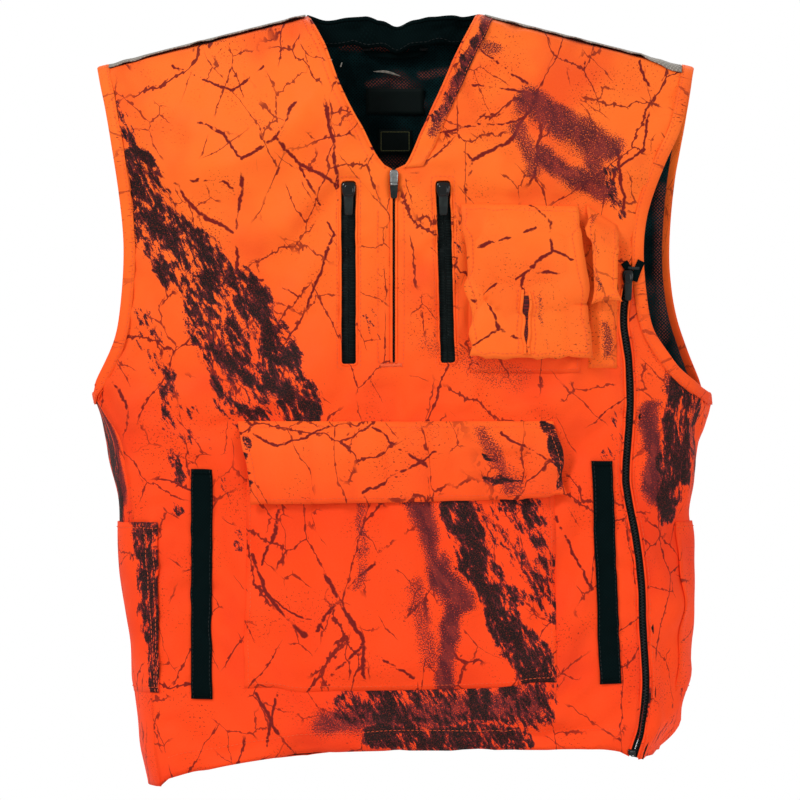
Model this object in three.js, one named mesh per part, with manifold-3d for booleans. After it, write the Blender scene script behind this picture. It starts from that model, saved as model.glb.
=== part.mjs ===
// A sleeveless pullover field vest, upright and hollow as it hangs on a form.
// Millimetres, +Z up. The front faces -Y and the wearer's left is +X.
// The origin is the middle of the hanger loop, inside the back of the neck.
import * as THREE from "three";
import { mergeVertices } from "three/addons/utils/BufferGeometryUtils.js";
import Module from "manifold-3d";

const wasm = await Module();
wasm.setup();

// ---- driving dimensions ----
const HALF_WIDTH = 312; // half width of the flattened round that front and back follow
const ROUNDNESS = 3; // exponent of that flattened round
const FRONT_DEPTH = 85; // middle of the front, ahead of the shoulder seams
const BACK_DEPTH = 56; // middle of the back, behind the shoulder seams
const SEAM_Y = -33; // plane of the shoulder seams
const FRONT_DROP = 120; // height over which the front rounds into the shoulder
const BACK_DROP = 90; // the same for the back
const NECK_X = 84; // half width of the neck at the shoulder seams
const NECK_Z = 38; // height of the shoulder seams at the neck
const SHOULDER_FALL = 0.25; // fall of a shoulder seam for each millimetre outwards
const SHOULDER_X = 286; // shoulder tips
const CLOTH = 2; // body cloth
const GAP = 0.4; // between layers that lie on each other
const SEAM_GAP = 1.5; // between body panels at a seam
const BINDING = 11; // width of the armhole binding
const ZIP_WINDOW = 16; // width of a chest zip window
const ZIP_TAPE = 26; // width of a closed zip
const COIL = 5; // width of a zip's coil
const COLUMN = 24; // spacing of the grid that all the cloth layers share
const ROW = 150; // spacing of its level rows
const ROUND_STEPS = 6; // rows over the rounding of the shoulder
const SIDE_STEPS = 8; // steps round a side of the body

// ---- outlines of the front, as [x, z] ----
const vPoint = [-1, -113];
const zipBottom = -298;
const armholeRight = [[-286, -12], [-282, -30], [-276, -56], [-269, -95], [-262, -140], [-258, -185], [-260, -232],
  [-266, -272], [-278, -300], [-291, -325]];
const armholeLeft = [[287, -12], [281, -38], [272, -74], [256, -109], [241, -150], [236, -185], [238, -225], [246, -268], [268, -302], [299, -325]];
const armholeBackRight = [[-286, -12], [-279, -34], [-268, -64], [-256, -120], [-252, -190], [-256, -245], [-270, -291], [-291, -325]];
const armholeBackLeft = [[287, -12], [283, -40], [275, -76], [265, -130], [261, -190], [265, -238], [277, -278], [299, -325]];
const sideRight = [[-291, -325], [-276, -375], [-268, -430], [-262, -500], [-253, -560], [-247, -620], [-245, -665], [-239, -701]];
const sideLeft = [[299, -325], [290, -385], [282, -440], [281, -520], [281, -590], [272, -640], [256, -662], [252, -664]];
const sideZip = [[226, -201], [219, -236], [218, -263], [222, -290], [224, -336], [220, -400], [222, -425], [230, -466], [235, -510], [236, -546], [239, -601], [235, -644], [227, -672]];
const hem = [[-239, -701], [-190, -686], [-104, -670], [0, -664], [128, -665], [195, -665], [236, -674], [252, -664]];

const plastic = { color: 0x0c0e0f, roughness: 0.35, metalness: 0 };
const black = { color: 0x0a1113, roughness: 0.9, metalness: 0 };
const orange = { color: 0xfb5420, roughness: 0.85, metalness: 0 };
const grey = { color: 0x969187, roughness: 0.9, metalness: 0 };
const silver = { color: 0xb8b8b4, roughness: 0.3, metalness: 1 };
const rubber = { color: 0x26302e, roughness: 0.7, metalness: 0 };

const vest = new THREE.Group();

// ---- curves and outlines ----
function smooth(points, count = 16) {
  const curve = new THREE.SplineCurve(points.map(([x, y]) => new THREE.Vector2(x, y)));
  return curve.getSpacedPoints(count).map((p) => [p.x, p.y]);
}

function at(points, z) {
  // x of a line of [x, z] points, running downwards, at height z
  if (z >= points[0][1]) return points[0][0];
  for (let i = 1; i < points.length; i += 1) {
    const [x0, z0] = points[i - 1];
    const [x1, z1] = points[i];
    if (z >= z1) return x0 + ((x1 - x0) * (z0 - z)) / (z0 - z1);
  }
  return points[points.length - 1][0];
}

function beside(points, distance) {
  // the line moved sideways by distance, to its left as it runs in [x, z]
  return points.map(([x, z], i) => {
    const [xa, za] = points[Math.max(i - 1, 0)];
    const [xb, zb] = points[Math.min(i + 1, points.length - 1)];
    const length = Math.hypot(xb - xa, zb - za);
    return [x - (distance * (zb - za)) / length, z + (distance * (xb - xa)) / length];
  });
}

const ribbon = (points, a, b) => [...beside(points, a), ...beside(points, b).reverse()];
const box = (x0, z0, x1, z1) => [[x0, z0], [x1, z0], [x1, z1], [x0, z1]];

// ---- the surfaces that the cloth follows ----
const seamHeight = (x) => NECK_Z - SHOULDER_FALL * Math.max(0, Math.abs(x) - NECK_X);
const across = (x) => (1 - Math.min(Math.abs(x) / HALF_WIDTH, 0.999) ** ROUNDNESS) ** (1 / ROUNDNESS);

function rounding(x, z, drop) {
  const below = Math.min(Math.max(seamHeight(x) - z, 0) / drop, 1);
  return Math.sqrt(1 - (1 - below) ** 2);
}

const frontY = (x, z) => SEAM_Y - FRONT_DEPTH * across(x) * rounding(x, z, FRONT_DROP);
const backY = (x, z) => SEAM_Y + BACK_DEPTH * across(x) * rounding(x, z, BACK_DROP);
const front = (x, z) => new THREE.Vector3(x, frontY(x, z), z);
const back = (x, z) => new THREE.Vector3(x, backY(x, z), z);

// One level line round a side, from its front edge (0) to its back edge (1).
const frontEdge = { right: (z) => at(sideRight, z) + 16, left: (z) => at(sideZip, z) + 6 };
const backEdge = { right: (z) => at(sideRight, z) + 18, left: (z) => at(sideLeft, z) - 18 };
const outermost = { right: (z) => at(sideRight, z), left: (z) => at(sideLeft, z) };

function sidePoint(side, q, z) {
  const a = front(frontEdge[side](z), z);
  const b = back(backEdge[side](z), z);
  const out = (outermost[side](z) - (a.x + b.x) / 8) / 0.75;
  const lean = (b.y - a.y) * 0.12;
  const bend = new THREE.CubicBezierCurve3(a, new THREE.Vector3(out, a.y + lean, z), new THREE.Vector3(out, b.y - lean, z), b);
  return bend.getPoint(q);
}

// ---- solids ----
function closed(points, rows, columns) {
  // two sheets of rows x columns points, outer then inner, joined round their rims
  const index = [];
  const inner = rows * columns;
  const quad = (a, b, c, d) => index.push(a, b, c, a, c, d);
  for (let r = 0; r < rows - 1; r += 1) {
    for (let c = 0; c < columns - 1; c += 1) {
      const k = r * columns + c;
      quad(k, k + 1, k + columns + 1, k + columns);
      quad(inner + k, inner + k + columns, inner + k + columns + 1, inner + k + 1);
    }
  }
  for (let c = 0; c < columns - 1; c += 1) {
    const last = (rows - 1) * columns + c;
    quad(c, inner + c, inner + c + 1, c + 1);
    quad(last, last + 1, inner + last + 1, inner + last);
  }
  for (let r = 0; r < rows - 1; r += 1) {
    const k = r * columns;
    const end = k + columns - 1;
    quad(k, k + columns, inner + k + columns, inner + k);
    quad(end, inner + end, inner + end + columns, end + columns);
  }
  const geometry = new THREE.BufferGeometry();
  geometry.setAttribute("position", new THREE.Float32BufferAttribute(points.flatMap((p) => p.toArray()), 3));
  geometry.setIndex(index);
  return geometry;
}

function slab(point, us, vs, low, high) {
  // a layer over a surface, from low to high along its outward normal
  const eps = 0.4;
  const normal = (u, v) => {
    const du = point(u + eps, v).sub(point(u - eps, v));
    const dv = point(u, v + eps).sub(point(u, v - eps));
    return du.cross(dv).normalize();
  };
  const level = (height) => vs.flatMap((v) => us.map((u) => {
    const lift = typeof height === "function" ? height(u, v) : height;
    return point(u, v).addScaledVector(normal(u, v), lift);
  }));
  return closed([...level(high), ...level(low)], vs.length, us.length);
}

function toSolid(geometry) {
  const bare = geometry.clone();
  bare.deleteAttribute("normal");
  bare.deleteAttribute("uv");
  const merged = mergeVertices(bare, 1e-4);
  const mesh = new wasm.Mesh({
    numProp: 3,
    vertProperties: new Float32Array(merged.attributes.position.array),
    triVerts: new Uint32Array(merged.index.array),
  });
  const solid = new wasm.Manifold(mesh);
  return solid.volume() < 0 ? null : solid;
}

function toGeometry(solid) {
  const mesh = solid.getMesh();
  const geometry = new THREE.BufferGeometry();
  geometry.setAttribute("position", new THREE.BufferAttribute(mesh.vertProperties, 3));
  geometry.setIndex(new THREE.BufferAttribute(mesh.triVerts, 1));
  return geometry;
}

const FORE = [-260, SEAM_Y - 0.3]; // Y range of everything on the front
const AFT = [SEAM_Y + 0.3, 160]; // and on the back

function prism(outline, [y0, y1] = [FORE[0], AFT[1]]) {
  // an [x, z] outline drawn out along Y
  const shape = new THREE.Shape(outline.map(([x, z]) => new THREE.Vector2(x, z)));
  const geometry = new THREE.ExtrudeGeometry(shape, { depth: y1 - y0, bevelEnabled: false });
  geometry.rotateX(Math.PI / 2);
  geometry.translate(0, y1, 0);
  return toSolid(geometry);
}

function range(low, high, step) {
  const list = [];
  for (let k = Math.floor(low / step); k <= Math.ceil(high / step); k += 1) list.push(k * step);
  return list;
}

function layer(face, outline, low, high) {
  // the part of a front or back layer inside an outline
  const xs = outline.map((p) => p[0]);
  const zs = outline.map((p) => p[1]);
  const columns = range(Math.min(...xs) - 1, Math.max(...xs) + 1, COLUMN);
  const drop = face === front ? FRONT_DROP : BACK_DROP;
  const reach = Math.max(...columns.map(seamHeight)) - Math.min(...zs) + 2;
  const start = Math.min(...columns.map(seamHeight)) - Math.max(...zs);
  const rounds = [...Array(ROUND_STEPS + 1).keys()].map((i) => drop * (1 - Math.cos((i * Math.PI) / 2 / ROUND_STEPS)));
  const falls = start > drop + COLUMN
    ? range(start - 2, reach, ROW)
    : [...rounds, ...range(0, Math.max(reach, drop + 1), ROW).filter((d) => d > drop + 1)];
  const surface = (u, v) => (face === front ? face(u, seamHeight(u) + v) : face(-u, seamHeight(u) + v));
  const us = face === front ? columns : columns.map((x) => -x).reverse();
  const vs = falls.map((d) => -d).reverse();
  const sheet = toSolid(slab(surface, us, vs, low, high));
  return sheet.intersect(prism(outline, face === front ? FORE : AFT));
}

const roundSide = range(0, 1, 1 / SIDE_STEPS);

function sideLayer(side, zs, low, high, qs = roundSide) {
  // a layer round one side of the body
  const sign = side === "left" ? 1 : -1;
  const us = sign > 0 ? qs.map((q) => q * 100) : qs.map((q) => -q * 100).reverse();
  const surface = (u, v) => sidePoint(side, (sign * u) / 100, v);
  return toSolid(slab(surface, us, [...zs].sort((a, b) => a - b), low, high));
}

function add(name, shape, look) {
  const geometry = shape.isBufferGeometry ? shape : toGeometry(shape);
  const mesh = new THREE.Mesh(geometry, new THREE.MeshStandardMaterial(look));
  mesh.name = name;
  vest.add(mesh);
  return mesh;
}

// An x, z outline pulled in by a wall on its sides and bottom, and run on past its top edge.
const hollow = ([topLeft, bottomLeft, bottomRight, topRight], wall, past) => [
  [topLeft[0] + wall, topLeft[1] + past],
  [bottomLeft[0] + wall, bottomLeft[1] + wall],
  [bottomRight[0] - wall, bottomRight[1] + wall],
  [topRight[0] - wall, topRight[1] + past],
];

function pocket(outline, depth) {
  // sewn flat on three sides of the panel, open along its top edge
  const wall = 1.6;
  const space = layer(front, hollow(outline, wall, 30), -1, depth - wall);
  return layer(front, outline, GAP, depth).subtract(space);
}

function bag(outline, depth) {
  // behind the panel, open towards it
  const wall = 1.2;
  const top = -CLOTH - GAP;
  const space = layer(front, hollow(outline, wall, -wall), top - depth + wall, 1);
  return layer(front, outline, top - depth, top).subtract(space);
}

function ring(sections) {
  // a closed hoop from a round of cross-sections, each with the same number of points
  const sides = sections[0].length;
  const index = [];
  sections.forEach((_, i) => {
    const j = (i + 1) % sections.length;
    for (let k = 0; k < sides; k += 1) {
      const m = (k + 1) % sides;
      index.push(i * sides + k, j * sides + k, j * sides + m, i * sides + k, j * sides + m, i * sides + m);
    }
  });
  const geometry = new THREE.BufferGeometry();
  geometry.setAttribute("position", new THREE.Float32BufferAttribute(sections.flat().flatMap((p) => p.toArray()), 3));
  geometry.setIndex(index);
  return geometry;
}

// ---- body panels ----
const slit = box(vPoint[0] - 3, zipBottom, vPoint[0] + 3, vPoint[1] + 1);
const neckline = [[-NECK_X, NECK_Z + 20], [-NECK_X, NECK_Z - 2], [-54, -30], [-30, -74], [-10, -111], [8, -111], [28, -74], [48, -30], [NECK_X - 4, NECK_Z - 2], [NECK_X - 4, NECK_Z + 20]];
const chestZips = {
  right: { top: [-44, -124], bottom: [-44, -298] },
  left: { top: [45.5, -124], bottom: [50.5, -297] },
};
const handPockets = {
  right: { top: [-184, -399], bottom: [-184, -616] },
  left: { top: [197, -391], bottom: [205, -602] },
};
const strip = ({ top, bottom }, width, extra = 0) => {
  const length = Math.hypot(bottom[0] - top[0], bottom[1] - top[1]);
  const along = [(bottom[0] - top[0]) / length, (bottom[1] - top[1]) / length];
  const a = [top[0] - along[0] * extra, top[1] - along[1] * extra];
  const b = [bottom[0] + along[0] * extra, bottom[1] + along[1] * extra];
  return ribbon([a, b], -width / 2, width / 2);
};
const holeRight = smooth(armholeRight);
const holeLeft = smooth(armholeLeft);
const edgeRight = beside(holeRight, BINDING + 1);
const edgeLeft = beside(holeLeft, -BINDING - 1);
const zipLine = smooth(sideZip, 20);
const hemLine = smooth(hem, 16);
const hemRun = (x0, x1, up) => {
  const rise = hemLine.map(([x, z]) => [x, z + up]);
  const heightAt = (x) => {
    const i = Math.max(1, rise.findIndex((p) => p[0] >= x));
    const [xa, za] = rise[i - 1];
    const [xb, zb] = rise[i];
    return za + ((zb - za) * (x - xa)) / (xb - xa);
  };
  const inside = rise.filter(([x]) => x > x0 + 2 && x < x1 - 2);
  return [[x0, heightAt(x0)], ...inside, [x1, heightAt(x1)]];
};

const tipRight = [-SHOULDER_X + BINDING + 1, NECK_Z];
const tipLeft = [SHOULDER_X - BINDING - 1, NECK_Z];
const neckTop = [tipLeft, [NECK_X, NECK_Z + 5], [-NECK_X, NECK_Z + 5], tipRight];
const hemLow = -740; // below every hem
const armpit = -325;
const edgeHeights = [armpit - 6, ...sideRight.slice(1, -1).map(([, z]) => z), hemLow];
const leftHeights = [armpit - 6, ...sideLeft.slice(1, -1).map(([, z]) => z)];
const sideRightFront = edgeHeights.map((z) => [frontEdge.right(z) + SEAM_GAP, z]);

// ---- body panels ----
function frontPart(zipSide, low, high) {
  // everything between the armholes, the right side seam and the side zip
  const outline = [
    ...edgeRight.filter(([, z]) => z > armpit + 3),
    ...sideRightFront.slice(0, -1),
    ...hemRun(frontEdge.right(hemLow) + SEAM_GAP, at(sideZip, hemLow) - zipSide, 0),
    ...beside(zipLine, -zipSide).reverse().slice(1),
    ...edgeLeft.filter(([, z]) => z > sideZip[0][1] + 5).reverse(),
    ...neckTop,
  ];
  return layer(front, outline, low, high);
}

let frontPanel = frontPart(5, -CLOTH, 0);
const windows = [strip(chestZips.right, ZIP_WINDOW), strip(chestZips.left, ZIP_WINDOW)];
const slots = ["right", "left"].map((side) => strip(handPockets[side], 9, -12));
for (const hole of [slit, neckline, ...windows, ...slots]) {
  frontPanel = frontPanel.subtract(prism(hole));
}
add("front_panel", frontPanel, orange);

const backHem = [[-260, -699], [-150, -688], [0, -676], [150, -668], [280, -664]];
const backNeck = [[NECK_X - 4, NECK_Z - 2], [40, 28], [0, 25], [-40, 28], [-NECK_X, NECK_Z - 2]];
const backHoleRight = beside(smooth(armholeBackRight), BINDING + 1);
const backHoleLeft = beside(smooth(armholeBackLeft), -BINDING - 1);
const backOutline = [
  ...backHoleRight.filter(([, z]) => z > armpit + 3),
  ...edgeHeights.slice(0, -1).map((z) => [backEdge.right(z) + SEAM_GAP, z]),
  ...backHem.slice(1, -1),
  ...leftHeights.slice().reverse().map((z) => [backEdge.left(z) - SEAM_GAP, z]),
  ...backHoleLeft.filter(([, z]) => z > armpit + 3).reverse(),
  tipLeft,
  [NECK_X, NECK_Z + 5],
  ...backNeck,
  [-NECK_X, NECK_Z + 5],
  tipRight,
];
add("back_panel", layer(back, backOutline, -CLOTH, 0), orange);

const rightRows = [armpit - BINDING - 2, ...edgeHeights.slice(1, -1), -697];
add("side_panel_right", sideLayer("right", rightRows, -CLOTH, 0), orange);
const leftRows = [-190, ...sideZip.slice(1, 4).map(([, z]) => z), armpit, ...leftHeights.slice(1)];
const clearLeft = beside(holeLeft, -BINDING - 2).filter(([, z]) => z < -180);
const underarm = [...clearLeft, [330, armpit - BINDING - 3], [330, -150], [200, -150]];
const backArm = [[250, -150], [258, -260], [285, armpit - BINDING - 3], [330, armpit - BINDING - 3], [330, -150]];
const sideLeftPanel = sideLayer("left", leftRows, -CLOTH, 0)
  .subtract(prism(underarm, [FORE[0], SEAM_Y - 8]))
  .subtract(prism(backArm, [SEAM_Y - 9, AFT[1]]));
add("side_panel_left", sideLeftPanel, orange);

// ---- lining ----
const LINING = -12; // inner face of the mesh lining
const inset = 14;
const liningFront = [
  ...beside(holeRight, BINDING + inset).filter(([x, z]) => z > armpit + 6 && x > -262),
  ...edgeHeights.slice(0, -2).map((z) => [frontEdge.right(z) + inset, z]),
  ...[-150, 0, 100, 190].map((x) => [x, -625]),
  ...beside(zipLine, -20).reverse().slice(2),
  ...beside(holeLeft, -BINDING - inset).filter(([, z]) => z > -190).reverse(),
  ...neckTop.map(([x, z]) => [x * 0.93, z]),
];
const wideSlit = box(vPoint[0] - inset - 3, zipBottom - 8, vPoint[0] + inset + 3, vPoint[1] + 10);
add("front_lining", layer(front, liningFront, LINING, LINING + 1)
  .subtract(prism(neckline.map(([x, z]) => [x * 1.08, z - 5])))
  .subtract(prism(wideSlit)), black);
const liningBack = [
  ...backHoleRight.map(([x, z]) => [x + inset, z]).filter(([, z]) => z > armpit + 6),
  ...edgeHeights.slice(0, -2).map((z) => [backEdge.right(z) + inset, z]),
  ...leftHeights.slice(0, -2).reverse().map((z) => [backEdge.left(z) - inset, z]),
  ...backHoleLeft.map(([x, z]) => [x - inset, z]).filter(([, z]) => z > armpit + 6).reverse(),
  [tipLeft[0] - inset, NECK_Z], [NECK_X, NECK_Z], [72, 20], [0, 8], [-72, 20], [-NECK_X, NECK_Z], [tipRight[0] + inset, NECK_Z],
];
add("back_lining", layer(back, liningBack, LINING, LINING + 1), black);

// ---- shoulder patches, bindings and neck ----
const patchFall = 62;
const patchOutline = (sign) => [
  [sign * (NECK_X + 10), NECK_Z - 3], [sign * (SHOULDER_X - 16), seamHeight(SHOULDER_X)],
  [sign * (SHOULDER_X - 40), seamHeight(SHOULDER_X) - patchFall], [sign * (NECK_X + 6), NECK_Z - patchFall],
];
add("shoulder_patch_right", layer(back, patchOutline(-1), GAP, GAP + 1), grey);
add("shoulder_patch_left", layer(back, patchOutline(1), GAP, GAP + 1), grey);

function armholeBinding(side, frontLine, backLine) {
  // a folded tape right round the armhole, in line with the cloth
  const normalOn = (face, x, z) => {
    const run = face(x + 1, z).sub(face(x - 1, z));
    const rise = face(x, z + 1).sub(face(x, z - 1));
    return run.cross(rise).normalize().multiplyScalar(face === front ? 1 : -1);
  };
  const sign = side === "left" ? 1 : -1;
  const tip = { p: front(sign * SHOULDER_X, seamHeight(SHOULDER_X)), n: new THREE.Vector3(0, 0, 1) };
  const under = { p: sidePoint(side, 0.5, armpit), n: new THREE.Vector3(sign, 0, 0) };
  const stop = (face) => ([x, z]) => ({ p: face(x, z), n: normalOn(face, x, z) });
  const loop = [
    tip, ...frontLine.slice(1, -1).map(stop(front)), under, ...backLine.slice(1, -1).reverse().map(stop(back)),
  ];
  const places = new THREE.CatmullRomCurve3(loop.map((s) => s.p), true, "centripetal");
  const normals = new THREE.CatmullRomCurve3(loop.map((s) => s.n), true, "centripetal");
  const count = 44;
  const sections = [...Array(count).keys()].map((i) => {
    const p = places.getPoint(i / count);
    const along = places.getTangent(i / count);
    const n = normals.getPoint(i / count).normalize();
    const inward = n.clone().cross(along).normalize().multiplyScalar(-sign);
    const corner = (w, h) => p.clone().addScaledVector(inward, w).addScaledVector(n, h);
    return [corner(0, 0.8), corner(BINDING, 0.8), corner(BINDING, -CLOTH - GAP), corner(0, -CLOTH - GAP)];
  });
  if (side === "left") sections.forEach((s) => s.reverse());
  return ring(sections);
}
add("armhole_binding_right", armholeBinding("right", armholeRight, armholeBackRight), orange);
add("armhole_binding_left", armholeBinding("left", armholeLeft, armholeBackLeft), orange);

const vEdgeLeft = [[10, -110], [28, -75], [48, -31], [NECK_X - 4, NECK_Z - 6]];
add("neck_band_left", layer(front, ribbon(vEdgeLeft, -21, -1), GAP, GAP + 1), orange);
add("back_neck_tape", layer(back, [[-76, 31], [-40, 23], [0, 20], [40, 23], [72, 31], [70, 17], [0, 4], [-74, 17]], -4, -2.4), black);
const loopLine = [-30, -20, -10, 0, 10, 20, 30].map((x) => [x, 8 * (x / 30) ** 2]);
add("hanger_loop", layer(back, ribbon(loopLine, -2, 2), LINING - 2.2, LINING - 1), black);
add("size_label", layer(back, box(-28, -55, 28, -28), LINING - 1.4, LINING - 0.4), black);
add("neck_label", layer(back, box(-16, -93, 16, -70), LINING - 1.4, LINING - 0.4), black);
const facing = (x0, x1) => [...hemRun(x0, x1, 3), ...hemRun(x0, x1, 38).reverse()];
add("hem_facing_front", layer(front, facing(-222, 200), -CLOTH - GAP - 1, -CLOTH - GAP), black);
const backFacing = [...backHem.slice(1, -1).map(([x, z]) => [x, z + 3]), ...backHem.slice(1, -1).reverse().map(([x, z]) => [x, z + 38])];
add("hem_facing_back", layer(back, backFacing, -CLOTH - GAP - 1, -CLOTH - GAP), black);

// ---- zips ----
const UNDER = -CLOTH - GAP; // top of what lies behind the cloth
const zipTape = (line, a, b) => layer(front, ribbon(line, a, b), UNDER - 1, UNDER);
const zipCoil = (line, width) => layer(front, ribbon(line, -width / 2, width / 2), UNDER + 0.3, -0.5);

function placed(name, geometry, x, z, along, lift, look, from = vest) {
  // a rigid piece on the front: local +Z runs up the zip and local -Y faces out
  const out = front(x + 1, z).sub(front(x - 1, z)).cross(front(x, z + 1).sub(front(x, z - 1))).normalize();
  const up = new THREE.Vector3(along[0], 0, along[1]);
  up.addScaledVector(out, -up.dot(out)).normalize();
  const inward = out.clone().negate();
  const mesh = new THREE.Mesh(geometry, new THREE.MeshStandardMaterial(look));
  mesh.name = name;
  mesh.quaternion.setFromRotationMatrix(new THREE.Matrix4().makeBasis(inward.clone().cross(up), inward, up));
  mesh.position.copy(front(x, z).addScaledVector(out, lift));
  from.add(mesh);
}

const block = (w, d, h, x = 0, y = 0, z = 0) => {
  const geometry = new THREE.BoxGeometry(w, d, h);
  geometry.translate(x, y, z);
  return toSolid(geometry);
};

function plate(points, thick, y) {
  // an [x, z] outline with rounded corners, thick along Y, with its inner face at y
  const shape = new THREE.Shape(points.map(([x, z]) => new THREE.Vector2(x, z)));
  const geometry = new THREE.ExtrudeGeometry(shape, { depth: thick, bevelEnabled: false });
  geometry.rotateX(Math.PI / 2);
  geometry.translate(0, y, 0);
  return toSolid(geometry);
}

const PIN = 3.6; // a pull's pin, in front of the underside of its slider
function sliderBody(round, width, height) {
  // a flat body with a bridge over the pull's pin
  const turns = [...Array(16).keys()].map((i) => (i * Math.PI) / 8);
  const outline = round
    ? turns.map((a) => [(width / 2) * Math.cos(a), (height / 2) * Math.sin(a)])
    : [[-width / 2, -height / 2], [width / 2, -height / 2], [width / 2, height / 2], [-width / 2, height / 2]];
  const bridge = block(2.4, 3.4, 9, 0, -3.9, 0).subtract(block(4, 2.2, 5, 0, -3.5, 0));
  return toGeometry(plate(outline, 2.4, 0).add(bridge));
}

function pullTab(top, bottom, length) {
  // a pin under the bridge, two arms past it, and the tab
  const arm = (sign) => block(1.1, 1.2, 8, sign * 2.2, -PIN, -3.6);
  const tab = [[-top / 2, -7], [top / 2, -7], [bottom / 2, -length], [-bottom / 2, -length]];
  const pin = block(5.5, 1.2, 1.2, 0, -PIN, -0.2);
  return toGeometry(arm(-1).add(arm(1)).add(pin).add(plate(tab, 2, -PIN + 1)));
}

const zipTop = -120;
const frontZip = [[vPoint[0], vPoint[1]], [vPoint[0], zipBottom + 2]];
add("front_zip_tape_right", zipTape(frontZip, -13, -0.2), black);
add("front_zip_tape_left", zipTape(frontZip, 0.2, 13), black);
add("front_zip_coil", zipCoil([[vPoint[0], vPoint[1] - 1], [vPoint[0], zipBottom + 8]], COIL), black);
add("front_zip_bottom_stop", layer(front, box(vPoint[0] - 2.6, zipBottom + 2, vPoint[0] + 2.6, zipBottom + 7), UNDER + 0.3, 0.4), silver);
placed("front_zip_slider", sliderBody(false, 8.5, 12), vPoint[0], zipTop, [0, 1], 0.3, silver);
placed("front_zip_pull", pullTab(9, 6.5, 21), vPoint[0], zipTop, [0, 1], 0.3, rubber);
const stitched = box(vPoint[0] - 15, zipBottom - 12, vPoint[0] + 12, zipBottom - 1);
add("placket", layer(front, stitched, GAP, GAP + 1), orange);

for (const [side, line] of Object.entries(chestZips)) {
  const path = [line.top, line.bottom];
  const along = [line.top[0] - line.bottom[0], line.top[1] - line.bottom[1]];
  const shift = (distance) => {
    const length = Math.hypot(...along);
    return [line.top[0] - (along[0] * distance) / length, line.top[1] - (along[1] * distance) / length];
  };
  const [x, z] = shift(9);
  const sign = side === "left" ? 1 : -1;
  add(`chest_zip_tape_${side}`, layer(front, strip(line, ZIP_TAPE, 6), UNDER - 1, UNDER), black);
  add(`chest_zip_coil_${side}`, zipCoil([shift(1), shift(172)], COIL), black);
  placed(`chest_zip_slider_${side}`, sliderBody(true, 12.4, 15), x, z, along, -0.2, plastic);
  placed(`chest_zip_pull_${side}`, pullTab(11, 9, 24), x, z, along, -0.2, rubber);
  const pouch = [[sign * 30, -116], [sign * 30, -312], [sign * 148, -312], [sign * 148, -150]];
  const outline = sign > 0 ? pouch : [pouch[3], pouch[2], pouch[1], pouch[0]].map(([a, b]) => [a, b]);
  const under = layer(front, strip(line, ZIP_TAPE + 2, 8), UNDER - 1.5, 1);
  add(`chest_zip_bag_${side}`, bag(outline, 5).subtract(under), black);
}

const hand = { right: [[-205, -392], [-205, -604], [-70, -604], [-70, -440]], left: [[80, -440], [80, -604], [212, -600], [205, -392]] };
for (const side of ["right", "left"]) {
  add(`hand_pocket_welt_${side}`, layer(front, strip(handPockets[side], 20), GAP, GAP + 1.2), black);
  add(`hand_pocket_bag_${side}`, bag(hand[side], 7.6), black);
}

const zipX = 221;
const sideZipTop = -216;
const lowerZip = zipLine.filter(([, z]) => z < -205 && z > -664);
add("side_zip_tape_front", layer(front, ribbon(lowerZip, -12, -0.3), UNDER - 1, UNDER), black);
const backTapeRows = leftRows.filter((z) => z < -230);
const backTape = sideLayer("left", backTapeRows, UNDER - 1, UNDER, [-0.015, 0, 1 / SIDE_STEPS])
  .intersect(prism(ribbon(zipLine, 0.5, 14)))
  .subtract(prism(underarm));
add("side_zip_tape_back", backTape, black);
add("side_zip_coil", zipCoil(lowerZip, COIL), black);
placed("side_zip_slider", sliderBody(true, 9.5, 14), zipX, sideZipTop, [0, 1], 1.4, plastic);
placed("side_zip_pull", pullTab(9, 7.5, 22), zipX, sideZipTop, [0, 1], 1.4, rubber);
add("side_zip_garage", layer(front, [[213, -190], [222, -198], [231, -189], [229, -203], [221, -206], [214, -203]], 1.4, 2.4), black);
add("side_zip_retainer_box", layer(front, box(228, -672, 238, -664), GAP, GAP + 2), plastic);

// ---- pockets with flaps ----
const HOOK = 0.8; // hook and loop strips

function flapPocket(name, { body, depth, flap, notch, closure }) {
  add(`${name}_pocket`, pocket(body, depth), orange);
  const rise = 24;
  const top = ([x]) => {
    const [[xa, za], , , [xb, zb]] = flap;
    return za + ((zb - za) * (x - xa)) / (xb - xa);
  };
  const away = depth + 2 * HOOK + 3 * GAP;
  const lift = (extra) => (u, v) => {
    const z = seamHeight(u) + v;
    const down = THREE.MathUtils.clamp((top([u]) - z) / rise, 0, 1);
    return 1.2 + (away - 1.2) * Math.sin((down * Math.PI) / 2) + extra;
  };
  let cloth = flapLayer(flap, lift(0), lift(1.8));
  if (notch) cloth = cloth.subtract(prism(notch));
  add(`${name}_flap`, cloth, orange);
  add(`${name}_loop_strip`, layer(front, closure, depth + GAP, depth + GAP + HOOK), black);
  add(`${name}_hook_strip`, layer(front, closure, depth + 2 * GAP + HOOK, depth + 2 * (GAP + HOOK)), black);
}

function flapLayer(outline, low, high) {
  // a flap bends sharply near its top edge, so it has closer rows there
  const xs = outline.map((p) => p[0]);
  const zs = outline.map((p) => p[1]);
  const columns = range(Math.min(...xs) - 1, Math.max(...xs) + 1, COLUMN);
  const highest = Math.max(...zs) + 1;
  const lowest = Math.min(...zs) - 1;
  const rows = [lowest, highest - 48, ...range(highest - 42, highest, 6)];
  const sheet = slab((u, v) => front(u, v), columns, [...new Set(rows)].sort((a, b) => a - b),
    (u, v) => low(u, v - seamHeight(u)), (u, v) => high(u, v - seamHeight(u)));
  return toSolid(sheet).intersect(prism(outline));
}

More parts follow.
